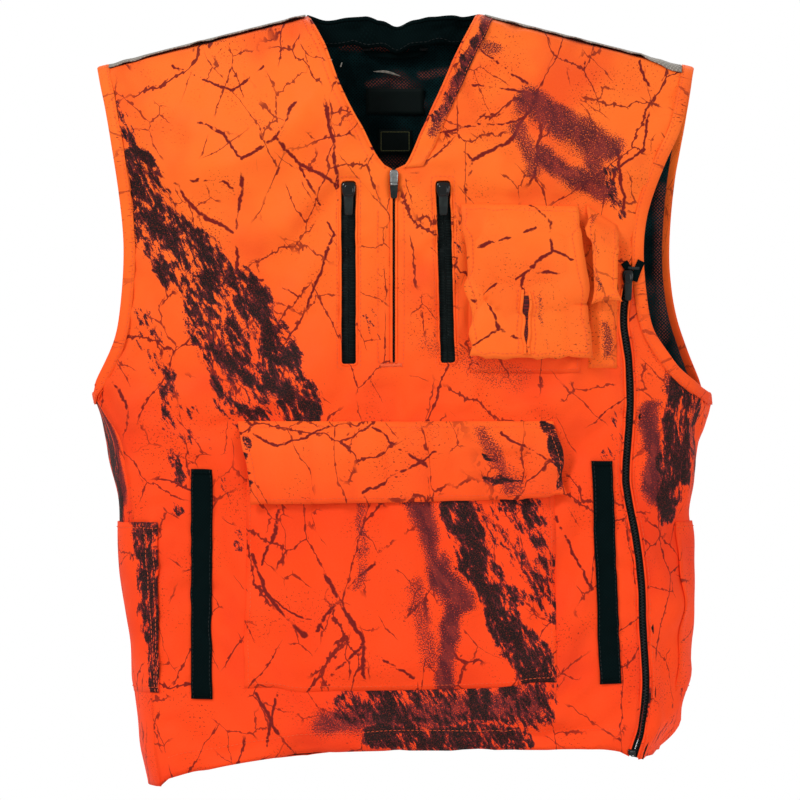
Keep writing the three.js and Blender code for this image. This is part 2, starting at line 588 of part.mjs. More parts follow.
flapPocket("kangaroo", {
  body: [[-139, -376], [-143, -605], [152, -598], [151, -376]],
  depth: 9,
  flap: [[-149, -352], [-136, -429], [164, -423], [150, -352]],
  closure: box(-60, -420, 84, -402),
});
flapPocket("chest", {
  body: [[70, -166], [71, -306], [176, -306], [174, -166]],
  depth: 12,
  flap: [[63, -143], [72, -292], [183, -292], [174, -146]],
  notch: box(120, -300, 128, -234),
  closure: box(84, -286, 116, -262),
});
flapPocket("radio", {
  body: [[182, -186], [184, -302], [211, -302], [211, -186]],
  depth: 13,
  flap: [[182, -147], [185, -239], [212, -239], [211, -166]],
  closure: box(189, -234, 207, -218),
});

// ---- game bag round the back ----
const bagTop = -445;
const bagBottom = -615;
function wrap(s, z) {
  // right front edge, right side, back, left side, as s runs from 0 to 4
  if (s < 1) return front(-226 + (frontEdge.right(z) + 226) * s, z);
  if (s < 2) return sidePoint("right", s - 1, z);
  if (s < 3) return back(backEdge.right(z) + (backEdge.left(z) - backEdge.right(z)) * (s - 2), z);
  return sidePoint("left", 1 - 0.75 * (s - 3), z);
}
function bagLayer(top, bottom, low, high, past = 0) {
  const rightSide = range(1, 2, 1 / SIDE_STEPS);
  const across = range(2.1, 2.9, 0.1);
  const leftSide = [...Array(7).keys()].map((i) => 3 + i / 6);
  const ends = past > 0 ? [-past, 4 + past] : [];
  const stops = [...ends, 0, 0.5, ...rightSide, ...across, ...leftSide].sort((a, b) => a - b);
  const seams = [...sideRight, ...sideLeft].map(([, z]) => z).filter((z) => z < top - 5 && z > bottom + 5);
  const rows = [top, ...seams, bottom].sort((a, b) => b - a);
  const point = (u, v) => wrap(u / 100, -v);
  const fall = (full) => (u) => full + (full > 2 ? 12 * Math.sin((Math.PI * THREE.MathUtils.clamp(u / 100 - 1.6, 0, 1.9)) / 1.9) : 0);
  return toSolid(slab(point, stops.map((s) => s * 100), rows.map((z) => -z), fall(low), fall(high)));
}
add("game_bag", bagLayer(bagTop, bagBottom, 1, 10).subtract(bagLayer(bagTop - 2, bagBottom + 2, -1, 8.2, 0.1)), orange);

export default vest;
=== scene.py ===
"""Looks of a pullover field vest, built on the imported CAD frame. Sizes are in millimetres in the
frame's axes (+X the wearer's left, -Y out of the front, +Z up) and turn into metres in make()."""

import math

import bpy
import numpy as np
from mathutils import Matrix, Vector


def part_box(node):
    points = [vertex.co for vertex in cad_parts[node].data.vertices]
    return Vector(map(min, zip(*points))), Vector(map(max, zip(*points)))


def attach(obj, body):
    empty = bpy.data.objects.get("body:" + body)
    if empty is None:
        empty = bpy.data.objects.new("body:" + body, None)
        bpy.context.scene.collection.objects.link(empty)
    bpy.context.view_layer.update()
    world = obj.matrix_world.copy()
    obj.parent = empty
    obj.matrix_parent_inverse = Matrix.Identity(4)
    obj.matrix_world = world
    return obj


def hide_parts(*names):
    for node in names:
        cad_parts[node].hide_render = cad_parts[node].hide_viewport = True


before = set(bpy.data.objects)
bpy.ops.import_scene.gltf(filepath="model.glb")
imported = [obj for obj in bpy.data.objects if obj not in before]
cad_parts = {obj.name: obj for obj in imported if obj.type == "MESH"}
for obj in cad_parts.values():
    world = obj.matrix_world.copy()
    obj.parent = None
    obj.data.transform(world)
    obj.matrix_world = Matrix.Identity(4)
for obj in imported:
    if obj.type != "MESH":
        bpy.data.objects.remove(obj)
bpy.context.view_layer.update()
MM = 0.001


def box(node):
    """Lowest and highest corner of a CAD node, in millimetres."""
    low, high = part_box(node)
    return np.array(low) / MM, np.array(high) / MM


# ---- driving dimensions, the same as the CAD part's ----
HALF_WIDTH, ROUNDNESS = 312, 3
FRONT_DEPTH, BACK_DEPTH, SEAM_Y = 85, 56, -33
FRONT_DROP, BACK_DROP = 120, 90
NECK_X, NECK_Z, SHOULDER_FALL, SHOULDER_X = 84, 38, 0.25, 286
BINDING = 11
ARMPIT = -325
CLOTH = 1.2  # thickness of the body cloth as shown

ARM_FRONT_RIGHT = [(-286, -12), (-282, -30), (-276, -56), (-269, -95), (-262, -140), (-258, -185),
                   (-260, -232), (-266, -272), (-278, -300), (-291, -325)]
ARM_FRONT_LEFT = [(287, -12), (281, -38), (272, -74), (256, -109), (241, -150), (236, -185),
                  (238, -225), (246, -268), (268, -302), (299, -325)]
ARM_BACK_RIGHT = [(-286, -12), (-279, -34), (-268, -64), (-256, -120), (-252, -190), (-256, -245),
                  (-270, -291), (-291, -325)]
ARM_BACK_LEFT = [(287, -12), (284, -40), (278, -76), (269, -130), (265, -190), (269, -238),
                 (280, -278), (299, -325)]
SIDE_RIGHT = [(-291, -325), (-276, -375), (-268, -430), (-262, -500), (-253, -560), (-247, -620),
              (-245, -665), (-239, -701)]
SIDE_LEFT = [(299, -325), (290, -385), (282, -440), (281, -520), (281, -590), (272, -640),
             (256, -662), (252, -664)]
SIDE_ZIP = [(226, -201), (219, -236), (218, -263), (222, -290), (224, -336), (220, -400), (222, -425),
            (230, -466), (235, -510), (236, -546), (239, -601), (235, -644), (227, -672)]
HEM = [(-239, -701), (-190, -686), (-104, -670), (-1, -664), (128, -665), (195, -665), (222, -669)]
HEM_BACK = [(-239, -701), (-192, -690), (-150, -679), (0, -663), (150, -660), (252, -661)]
V_RIGHT = [(-84, 38), (-68, 8), (-54, -30), (-42, -55), (-30, -76), (-20, -97), (-9, -112)]
V_LEFT = [(80, 38), (60, 0), (48, -28), (37, -52), (25, -79), (14, -104), (8, -112)]
NECK_BACK = [(-84, 38), (-66, 33.5), (-38, 36.5), (-14, 34), (2, 29), (20, 34.5), (52, 37.5), (66, 36.5), (80, 38)]
ZIP_X, ZIP_TOP, ZIP_BOTTOM = -1, -113, -298
LIP_SHIFT = FRONT_DEPTH - SEAM_Y  # brings the print of a zip's lip in line with the panel beside it


# ---- lines and curves ----
def spline(points, count):
    """Evenly spaced points on a smooth curve through the given ones."""
    p = np.array(points, float)
    p = np.vstack([2 * p[0] - p[1], p, 2 * p[-1] - p[-2]])
    out = []
    for i in range(1, len(p) - 2):
        t = np.linspace(0, 1, 24, endpoint=False)[:, None]
        a, b, c, d = p[i - 1], p[i], p[i + 1], p[i + 2]
        out.append(0.5 * (2 * b + (c - a) * t + (2 * a - 5 * b + 4 * c - d) * t**2
                          + (3 * b - a - 3 * c + d) * t**3))
    fine = np.vstack([*out, p[-2][None]])
    return evenly(fine, count)


def evenly(line, count):
    line = np.array(line, float)
    along = np.concatenate([[0], np.cumsum(np.linalg.norm(np.diff(line, axis=0), axis=1))])
    at = np.linspace(0, along[-1], count)
    return np.stack([np.interp(at, along, line[:, k]) for k in range(line.shape[1])], axis=1)


def x_at(points, z):
    """x of a downward line of (x, z) points at the heights z."""
    p = np.array(points, float)
    return np.interp(-np.asarray(z, float), -p[:, 1], p[:, 0])


def z_at(points, x):
    """z of a line of (x, z) points that runs towards +X, at the places x."""
    p = np.array(points, float)
    return np.interp(np.asarray(x, float), p[:, 0], p[:, 1])


def step(low, high, value):
    t = np.clip((value - low) / (high - low), 0, 1)
    return t * t * (3 - 2 * t)


def gap_to(line, x, z):
    """Distance of each (x, z) to a line of points."""
    p = np.array(line, float)
    best = np.full(np.shape(x), 1e9)
    for (ax, az), (bx, bz) in zip(p[:-1], p[1:]):
        t = np.clip(((x - ax) * (bx - ax) + (z - az) * (bz - az))
                    / max((bx - ax) ** 2 + (bz - az) ** 2, 1e-9), 0, 1)
        best = np.minimum(best, np.hypot(x - ax - t * (bx - ax), z - az - t * (bz - az)))
    return best


def waves(x, z, seed, size):
    """Smooth seeded noise between about -1 and 1, with lumps about size wide."""
    rng = np.random.default_rng(seed)
    total = 0
    for _ in range(7):
        angle, phase, k = rng.uniform(0, 2 * math.pi, 3) * (1, 1, 0.25) + (0, 0, 1)
        total = total + np.sin((x * math.cos(angle) + z * math.sin(angle)) * 2 * k / size + phase)
    return total / 3.2


# ---- the surfaces that the cloth follows ----
def seam_height(x):
    return NECK_Z - SHOULDER_FALL * np.maximum(0, np.abs(x) - NECK_X)


def bulge(x, fall, depth, drop):
    flat = (1 - np.minimum(np.abs(x) / HALF_WIDTH, 0.999) ** ROUNDNESS) ** (1 / ROUNDNESS)
    below = np.clip(fall / drop, 0, 1)
    return depth * flat * np.sqrt(1 - (1 - below) ** 2)


def front_base(x, fall):
    return np.stack([x, SEAM_Y - bulge(x, fall, FRONT_DEPTH, FRONT_DROP), seam_height(x) - fall], -1)


def back_base(x, fall):
    return np.stack([x, SEAM_Y + bulge(x, fall, BACK_DEPTH, BACK_DROP), seam_height(x) - fall], -1)


def side_edges(side, z):
    if side == "left":
        return x_at(SIDE_ZIP, z) + 6, x_at(SIDE_LEFT, z) - 18, x_at(SIDE_LEFT, z)
    return x_at(SIDE_RIGHT, z) + 16, x_at(SIDE_RIGHT, z) + 18, x_at(SIDE_RIGHT, z)


def side_base(side):
    def point(q, z):
        xa, xb, far = side_edges(side, z)
        ya = front_base(xa, seam_height(xa) - z)[..., 1]
        yb = back_base(xb, seam_height(xb) - z)[..., 1]
        out = (far - (xa + xb) / 8) / 0.75
        lean = (yb - ya) * 0.12
        k = [(1 - q) ** 3, 3 * q * (1 - q) ** 2, 3 * q**2 * (1 - q), q**3]
        x = k[0] * xa + (k[1] + k[2]) * out + k[3] * xb
        y = k[0] * ya + k[1] * (ya + lean) + k[2] * (yb - lean) + k[3] * yb
        return np.stack([x, y, z + 0 * q], -1)
    return point


class Skin:
    """A surface over (a, b), kept as a grid, with positions and outward normals between its points."""

    def __init__(self, a, b, base, outward):
        self.a, self.b, self.outward = np.array(a, float), np.array(b, float), outward
        self.place = base(*np.meshgrid(self.a, self.b))
        self.turn()

    def turn(self):
        da = np.gradient(self.place, axis=1)
        db = np.gradient(self.place, axis=0)
        n = np.cross(da, db) * self.outward
        self.normal = n / np.linalg.norm(n, axis=-1, keepdims=True)

    def finer(self):
        """Twice the points each way, on smooth curves through the old ones."""
        for axis in (0, 1):
            self.place = doubled(self.place, axis)
        self.a, self.b = doubled(self.a, 0), doubled(self.b, 0)
        self.turn()

    def at(self, a, b, lift=0.0):
        a, b = np.broadcast_arrays(np.asarray(a, float), np.asarray(b, float))
        i = np.clip(np.searchsorted(self.a, a) - 1, 0, len(self.a) - 2)
        j = np.clip(np.searchsorted(self.b, b) - 1, 0, len(self.b) - 2)
        s = ((a - self.a[i]) / (self.a[i + 1] - self.a[i]))[..., None]
        t = ((b - self.b[j]) / (self.b[j + 1] - self.b[j]))[..., None]
        mixed = []
        for g in (self.place, self.normal):
            mixed.append((g[j, i] * (1 - s) + g[j, i + 1] * s) * (1 - t)
                         + (g[j + 1, i] * (1 - s) + g[j + 1, i + 1] * s) * t)
        n = mixed[1] / np.linalg.norm(mixed[1], axis=-1, keepdims=True)
        return mixed[0] + n * np.asarray(lift, float)[..., None]


def doubled(values, axis):
    v = np.moveaxis(np.asarray(values, float), axis, 0)
    ends = np.concatenate([2 * v[:1] - v[1:2], v, 2 * v[-1:] - v[-2:-1]])
    middle = (9 * (ends[1:-2] + ends[2:-1]) - ends[:-3] - ends[3:]) / 16
    out = np.empty((2 * len(v) - 1, *v.shape[1:]))
    out[0::2], out[1::2] = v, middle
    return np.moveaxis(out, 0, axis)


def drape(name, skin, held, excess, frames=24, most=7.0):
    """Lets the cloth of a skin settle between the places where it is held, and keeps the result."""
    rows, columns = skin.place.shape[:2]
    mesh = bpy.data.meshes.new(name)
    mesh.from_pydata((skin.place.reshape(-1, 3) * MM).tolist(), [], grid_faces(rows, columns))
    obj = bpy.data.objects.new(name, mesh)
    bpy.context.scene.collection.objects.link(obj)
    group = obj.vertex_groups.new(name="held")
    for index, weight in enumerate(held.reshape(-1)):
        group.add([index], float(weight), "REPLACE")
    cloth = obj.modifiers.new("cloth", "CLOTH")
    s = cloth.settings
    s.quality, s.mass, s.air_damping = 5, 0.25, 4
    s.tension_stiffness, s.compression_stiffness, s.shear_stiffness, s.bending_stiffness = 18, 18, 8, 0.9
    s.vertex_group_mass, s.pin_stiffness, s.shrink_min = "held", 1, -excess
    cloth.collision_settings.use_collision = False
    cloth.collision_settings.use_self_collision = False
    scene = bpy.context.scene
    for number in range(1, frames + 1):
        scene.frame_set(number)
    shown = obj.evaluated_get(bpy.context.evaluated_depsgraph_get())
    moved = np.array([v.co for v in shown.data.vertices]).reshape(rows, columns, 3) / MM
    scene.frame_set(1)
    bpy.data.objects.remove(obj)
    bpy.data.meshes.remove(mesh)
    shift = moved - skin.place
    far = np.linalg.norm(shift, axis=-1, keepdims=True)
    skin.place = skin.place + shift * np.minimum(1, most / np.maximum(far, 1e-6))
    skin.turn()


def grid_faces(rows, columns, flip=False):
    faces = []
    for r in range(rows - 1):
        for c in range(columns - 1):
            k = r * columns + c
            face = (k, k + 1, k + columns + 1, k + columns)
            faces.append(face[::-1] if flip else face)
    return faces


# ---- materials ----
def srgb(r, g, b):
    return tuple((c / 255 / 12.92) if c <= 10 else ((c / 255 + 0.055) / 1.055) ** 2.4 for c in (r, g, b)) + (1,)


class Paint:
    """A node material under construction. Every method adds one node and returns its output."""

    def __init__(self, name, color, rough, **sockets):
        self.material = bpy.data.materials.new(name)
        self.material.use_nodes = True
        self.tree = self.material.node_tree
        self.shader = self.tree.nodes["Principled BSDF"]
        self.shader.inputs["Base Color"].default_value = color
        self.shader.inputs["Roughness"].default_value = rough
        for key, value in sockets.items():
            self.shader.inputs[key.replace("_", " ")].default_value = value

    def node(self, kind, inputs, output=0, **settings):
        node = self.tree.nodes.new(kind)
        for key, value in settings.items():
            setattr(node, key, value)
        for key, value in inputs.items():
            if isinstance(value, bpy.types.NodeSocket):
                self.tree.links.new(value, node.inputs[key])
            elif value is not None:
                node.inputs[key].default_value = value
        return node.outputs[output]

    def uv(self, scale=(1, 1), turn=0.0, shift=(0, 0)):
        """Cloth coordinates in metres, turned and then scaled."""
        start = self.node("ShaderNodeUVMap", {}, uv_map="cloth")
        turned = self.node("ShaderNodeMapping", {0: start, 1: (*shift, 0), 2: (0, 0, turn)})
        return self.node("ShaderNodeMapping", {0: turned, 3: (*scale, 1)})

    def place(self):
        return self.node("ShaderNodeTexCoord", {}, output="Object")

    def math(self, operation, a, b=None, c=None):
        return self.node("ShaderNodeMath", {0: a, 1: b, 2: c}, operation=operation)

    def vector(self, operation, a, b, scale=None):
        inputs = {0: a, 1: b} if scale is None else {0: a, "Scale": scale}
        return self.node("ShaderNodeVectorMath", inputs, operation=operation)

    def noise(self, place, scale, detail=2.0, rough=0.5, output=0):
        inputs = {"Vector": place, "Scale": scale, "Detail": detail, "Roughness": rough}
        return self.node("ShaderNodeTexNoise", inputs, output=output)

    def cracks(self, place, scale):
        inputs = {"Vector": place, "Scale": scale}
        return self.node("ShaderNodeTexVoronoi", inputs, feature="DISTANCE_TO_EDGE")

    def ramp(self, value, low, high, start=0.0, end=1.0):
        inputs = {"Value": value, "From Min": low, "From Max": high, "To Min": start, "To Max": end}
        return self.node("ShaderNodeMapRange", inputs, interpolation_type="SMOOTHSTEP")

    def mix(self, factor, a, b):
        node = self.tree.nodes.new("ShaderNodeMix")
        node.data_type = "RGBA"
        for index, value in ((0, factor), (6, a), (7, b)):
            if isinstance(value, bpy.types.NodeSocket):
                self.tree.links.new(value, node.inputs[index])
            else:
                node.inputs[index].default_value = value
        return node.outputs[2]

    def warp(self, place, scale, amount, detail=2.0):
        """The same coordinates, pushed about by noise."""
        push = self.noise(place, scale, detail, output="Color")
        centred = self.vector("SUBTRACT", push, (0.5, 0.5, 0.5))
        return self.vector("ADD", place, self.vector("SCALE", centred, None, scale=amount))

    def stroke(self, place, a, b, reach, core):
        """1 on a straight stroke from a to b (millimetres), out to core of its reach, and 0 beyond its reach."""
        ab = ((b[0] - a[0]) * MM, (b[1] - a[1]) * MM, 0)
        from_a = self.vector("SUBTRACT", place, (a[0] * MM, a[1] * MM, 0))
        dot = self.node("ShaderNodeVectorMath", {0: from_a, 1: ab}, output="Value", operation="DOT_PRODUCT")
        share = self.math("DIVIDE", dot, ab[0] ** 2 + ab[1] ** 2)
        self.tree.nodes[-1].use_clamp = True
        along = self.vector("SCALE", ab, None, scale=share)
        away = self.node("ShaderNodeVectorMath", {0: from_a, 1: along}, output="Value", operation="DISTANCE")
        return self.ramp(away, reach * MM, reach * core * MM)

    def later(self, place, value):
        """The same coordinates, but only worked out after value, so that a long material is done a part at a time."""
        return self.node("ShaderNodeVectorMath", {0: value, 1: (1e-9, 1e-9, 1e-9), 2: place}, operation="MULTIPLY_ADD")

    def finish(self, color=None, rough=None, bump=None, strength=0.3, depth=0.0005):
        if color is not None:
            self.tree.links.new(color, self.shader.inputs["Base Color"])
        if rough is not None:
            self.tree.links.new(rough, self.shader.inputs["Roughness"])
        if bump is not None:
            inputs = {"Strength": strength, "Distance": depth, "Height": bump}
            self.tree.links.new(self.node("ShaderNodeBump", inputs), self.shader.inputs["Normal"])
        return self.material


# painted light and shade: a lighter orange for the top of the vest and a darker one lower down
ORANGE_LIT_TOP = srgb(255, 110, 34)
ORANGE_SHADED_LOW = srgb(252, 70, 18)
ORANGE_DEEP = srgb(226, 44, 14)
TWIG = srgb(112, 16, 14)
BARK_DARK = srgb(8, 9, 14)
MAROON = srgb(84, 24, 32)
SHADE = srgb(120, 36, 36)
SPECK = srgb(190, 44, 26)
PRINT_ANGLE = math.radians(35)


def twill(paint):
    """Height of a fine diagonal weave, with a slow unevenness under it."""
    ribs = paint.node("ShaderNodeTexWave", {"Vector": paint.uv(turn=math.radians(40)), "Scale": 260,
                                            "Distortion": 1.5, "Detail": 2, "Detail Scale": 3})
    grain = paint.noise(paint.uv(), 1500, 2)
    slow = paint.noise(paint.uv(), 60, 3)
    return paint.math("ADD", paint.math("MULTIPLY", ribs, 0.4),
                      paint.math("ADD", paint.math("MULTIPLY", grain, 0.5), paint.math("MULTIPLY", slow, 1.6)))


def camo(name, shift=(0, 0), bark=(), shade=(), branches=(), grain=-60, tone=0.0, twigs=1.0, painted_highlight=0.0):
    """Blaze orange twill, printed with twigs, speckle and patches of bark, over a base with painted light and shade:
    lighter at the top, painted darker towards the hem. Everything is in millimetres of cloth:
    bark (black flakes) and shade (soft maroon, part of the print) are strokes ((x, z), (x, z), half width, strength),
    and branches are (width, point, point, ...). grain is the direction of the bark, in degrees. The highlight amount
    paints the light further down, so that flaps stand out lighter."""
    p = Paint(name, ORANGE_LIT_TOP, 0.72, Specular_IOR_Level=0.15, Sheen_Weight=0.02, Sheen_Roughness=0.5)
    flat = p.uv()
    moved = p.uv(shift=shift)
    height = p.node("ShaderNodeSeparateXYZ", {0: flat}, output="Y")
    # painted light and shade: the base is lighter at the top and painted darker towards the hem; the flaps' highlight
    # amount moves the light further down
    base = p.mix(p.ramp(height, -0.10 - painted_highlight, -0.42 - painted_highlight), ORANGE_LIT_TOP, ORANGE_SHADED_LOW)
    # painted shade: random patches of deeper orange, stronger on pieces with a larger tone, stand in for darker shaded
    # zones
    base = p.mix(p.ramp(p.noise(moved, 9, 3), 0.42, 0.72, 0, 0.3 + tone), base, ORANGE_DEEP)

    # twigs of three sizes, each with knots along it and broken up by its own noise
    lines = None
    sizes = ((7.5, 0.00062, 0.44, 0.52, 0.95, 0.070), (13.0, 0.00046, 0.44, 0.52, 0.9, 0.040),
             (26.0, 0.00036, 0.49, 0.57, 0.8, 0.016))
    for index, (scale, half, low, high, dark, push) in enumerate(sizes):
        turned = p.uv(turn=PRINT_ANGLE * (1 - index), scale=(1.0, 0.55), shift=(shift[0] + index * 3.1, shift[1] + index))
        bent = p.warp(p.warp(turned, 7, push, 1), 70, 0.008, 3)
        knots = p.ramp(p.noise(turned, 260, 1), 0.50, 0.66, 0.7 * half * scale, 2.6 * half * scale)
        line = p.math("SUBTRACT", 1.0, p.ramp(p.math("DIVIDE", p.cracks(bent, scale), knots), 0.6, 1.3))
        kept = p.ramp(p.noise(p.uv(shift=(shift[0] - index * 2.3, shift[1])), 12 + 7 * index, 1), low, high)
        line = p.math("MULTIPLY", p.math("MULTIPLY", line, kept), dark * twigs)
        lines = line if lines is None else p.math("MAXIMUM", lines, line)
    shaken = p.warp(p.warp(flat, 28, 0.012, 1), 190, 0.0045, 2)
    for width, *points in branches:
        for a, b in zip(points[:-1], points[1:]):
            shaken = p.later(shaken, lines)
            lines = p.math("MAXIMUM", lines, p.stroke(shaken, a, b, width * 0.5 + 0.7, 0.55))
    color = p.mix(lines, base, TWIG)

    # speckle, thicker in some places
    dots = p.ramp(p.noise(moved, 520, 2), 0.60, 0.67)
    where = p.ramp(p.noise(moved, 15, 3), 0.48, 0.64, 0.03, 0.8)
    color = p.mix(p.math("MULTIPLY", dots, where), color, TWIG)

    # soft maroon shade and black flakes of bark, both torn at their edges
    torn = p.warp(p.warp(flat, 16, 0.030), 60, 0.012, 3)
    along = p.uv(turn=math.radians(-grain), scale=(0.42, 1))
    fine = p.noise(flat, 820, 2, 0.7)
    for strokes, solid in ((shade, False), (bark, True)):
        if not strokes:
            continue
        mask = 0.0
        torn = p.later(torn, color)
        for a, b, half, strength in strokes:
            one = p.math("MULTIPLY", p.stroke(torn, a, b, half * 1.5, 0.40 if solid else 0.15), strength)
            mask = p.math("MAXIMUM", mask, one)
            torn = p.later(torn, mask)
        if solid:
            blotch = p.noise(p.warp(along, 22, 0.022), 62, 3, 0.6)
            flakes = p.noise(p.warp(along, 60, 0.010), 210, 4, 0.72)
            level = p.math("ADD", p.math("MULTIPLY", flakes, 0.44), p.math("MULTIPLY", blotch, 0.40))
            level = p.math("MULTIPLY_ADD", fine, 0.16, level)
            level = p.math("MULTIPLY_ADD", p.math("SUBTRACT", level, 0.5), 1.7, 0.5)
            reached = p.math("MULTIPLY_ADD", mask, 0.44, level)
            cover = p.ramp(reached, 0.84, 0.87)
            inside = p.mix(p.ramp(reached, 0.88, 0.96), MAROON, BARK_DARK)
            inside = p.mix(p.ramp(fine, 0.58, 0.68, 0, 0.6), inside, SPECK)
        else:
            reached = p.math("MULTIPLY_ADD", p.math("SUBTRACT", fine, 0.5), 1.9, mask)
            cover = p.ramp(reached, 0.62, 0.82)
            inside = p.mix(p.ramp(p.noise(p.warp(along, 40, 0.01), 130, 3), 0.40, 0.62), MAROON, SHADE)
        color = p.mix(cover, color, inside)
    fade = p.ramp(p.noise(p.uv(), 700, 2), 0.35, 0.7, 0.0, 0.03)
    color = p.mix(fade, color, srgb(255, 140, 80))
    return p.finish(color, p.ramp(p.noise(p.uv(), 30, 2), 0.3, 0.7, 0.66, 0.8), twill(p), 0.35, 0.0006)


def woven(name, dark, light, rough=0.75, pitch=900, sheen=0.05, strength=0.4, shine=0.3):
    """Plain woven tape or webbing."""
    p = Paint(name, dark, rough, Specular_IOR_Level=shine, Sheen_Weight=sheen)
    a = p.node("ShaderNodeTexWave", {"Vector": p.uv(turn=0.6), "Scale": pitch / 6, "Distortion": 1.0})
    b = p.node("ShaderNodeTexWave", {"Vector": p.uv(turn=-0.9), "Scale": pitch / 6, "Distortion": 1.0})
    weave = p.math("MULTIPLY", a, b)
    wear = p.noise(p.uv(), 40, 4)
    color = p.mix(p.ramp(p.math("ADD", weave, wear), 0.5, 1.3), dark, light)
    return p.finish(color, None, weave, strength, 0.0004)


# painted light: where the orange cloth shows best through the mesh, painted lit in its holes: from, to, half width
MESH_PAINTED_LIGHT = [((-50, 17), (8, 13), 7), ((-26, -23), (-7, -19), 5), ((-7, -19), (11, -24), 5),
             ((26, -14), (58, -10), 6), ((-8, -104), (8, -104), 12), ((260, -130), (262, -270), 11)]


def mesh_cloth(name):
    """Black warp-knit mesh: small dark holes in rows, painted as shade, with the orange cloth faintly behind them
    painted lit in patches.
    """
    p = Paint(name, srgb(8, 20, 21), 0.85, Specular_IOR_Level=0.06, Sheen_Weight=0.0)
    holes = p.node("ShaderNodeTexVoronoi", {"Vector": p.uv(turn=math.pi / 4), "Scale": 430, "Randomness": 0.2})
    hole = p.math("SUBTRACT", 1.0, p.ramp(holes, 0.24, 0.38))
    # painted light and shade in the holes: lit orange in random patches and along the strokes below, near-black shade
    # elsewhere
    behind = p.ramp(p.noise(p.uv(), 13, 2), 0.57, 0.70, 0, 0.8)
    torn = p.warp(p.uv(), 40, 0.008)
    for a, b, half in MESH_PAINTED_LIGHT:
        behind = p.math("MAXIMUM", behind, p.stroke(torn, a, b, half, 0.2))
    through = p.mix(behind, srgb(1, 7, 8), srgb(150, 66, 54))
    thread = p.mix(p.ramp(p.noise(p.uv(), 30, 3), 0.3, 0.7), srgb(3, 24, 26), srgb(16, 48, 51))
    return p.finish(p.mix(hole, thread, through), None, p.math("SUBTRACT", 1.0, hole), 0.6, 0.0004)


def moulded(name, color, light, rough, metal=0.0, coat=0.0, scale=300, shine=0.5):
    """Moulded plastic, rubber or metal with fine texture and worn, lighter patches."""
    p = Paint(name, color, rough, Metallic=metal, Coat_Weight=coat, Coat_Roughness=0.12, Specular_IOR_Level=shine)
    wear = p.noise(p.place(), scale, 4, 0.6)
    shade = p.mix(p.ramp(wear, 0.45, 0.75, 0, 0.7), color, light)
    fine = p.noise(p.place(), scale * 12, 2)
    return p.finish(shade, p.ramp(wear, 0.3, 0.7, rough * 0.85, min(1, rough * 1.2)), fine, 0.2, 0.0002)


def hooked(name, color, scale):
    """Hook or loop tape: a field of tiny stiff bristles."""
    p = Paint(name, color, 0.85, Specular_IOR_Level=0.3, Sheen_Weight=0.2)
    cells = p.node("ShaderNodeTexVoronoi", {"Vector": p.uv(), "Scale": scale, "Randomness": 0.5})
    shade = p.mix(p.ramp(cells, 0.1, 0.6), srgb(60, 62, 60), color)
    return p.finish(shade, None, p.math("SUBTRACT", 1.0, cells), 0.8, 0.0008)


FRONT_BARK = [((-263, -52), (-242, -95), 12, 0.75), ((-249, -104), (-228, -147), 22, 1), ((-228, -147), (-190, -190), 27, 1),
              ((-235, -176), (-200, -223), 22, 0.9), ((-190, -185), (-147, -233), 25, 1), ((-150, -223), (-90, -342), 26, 1),
              ((-185, -237), (-133, -342), 28, 0.85), ((-242, -257), (-195, -361), 15, 0.65), ((-40, -618), (138, -618), 24, 0.95),
              ((-14, -651), (119, -654), 16, 1), ((-22, -247), (-26, -351), 11, 0.5), ((64, -171), (48, -266), 9, 0.5),
              ((215, -350), (205, -400), 12, 0.6), ((205, -110), (212, -150), 9, 0.8), ((-214, -300), (-207, -440), 8, 0.8),
              ((-188, -340), (-150, -470), 8, 0.65)]
FRONT_SHADE = [((128, -48), (204, -86), 22, 0.95), ((142, -95), (195, -128), 19, 0.95), ((119, -71), (133, -109), 12, 0.85),
               ((185, -67), (195, -133), 13, 0.9), ((-62, -636), (128, -618), 24, 0.9), ((71, 19), (100, 5), 11, 0.8),
               ((33, -280), (119, -314), 18, 0.6), ((-150, -60), (-110, -75), 12, 0.5)]
FRONT_BRANCHES = [(3.2, (-98, -43), (-113, -77), (-145, -98), (-151, -167), (-153, -209)), (2.6, (-188, -65), (-164, -74), (-145, -98)),
                  (3.4, (-227, -114), (-206, -125), (-181, -153), (-153, -168)), (1.8, (-153, -126), (-165, -117), (-192, -120)),
                  (3.6, (-67, -29), (-64, -79), (-58, -91), (-55, -128)), (3.0, (-113, -77), (-91, -104), (-64, -119), (-55, -128)),
                  (2.2, (-91, -104), (-74, -139), (-58, -174), (-68, -200), (-83, -242)), (2.4, (-136, -213), (-104, -224), (-92, -230)),
                  (2.4, (-275, -310), (-254, -331), (-250, -353)), (2.0, (77, 11), (138, -35)), (1.6, (70, -31), (140, -33)),
                  (3.6, (140, -32), (131, -52), (105, -86), (84, -98), (74, -106), (68, -133)), (1.8, (48, -76), (79, -67), (127, -59)),
                  (2.4, (48, -76), (74, -104)), (1.8, (183, 7), (181, -15), (173, -35)), (2.2, (234, -9), (247, -32), (242, -63), (236, -98)),
                  (3.2, (210, -93), (219, -157)), (2.6, (237, -95), (209, -114), (206, -138)), (3.0, (-132, -613), (-108, -650)),
                  (2.4, (-112, -608), (-126, -665)), (2.4, (150, -441), (188, -510)), (1.8, (-214, -9), (-157, -33), (-126, -9))]
def mirrored(strokes):
    return [((-a[0], a[1]), (-b[0], b[1]), half, strength) for a, b, half, strength in strokes]


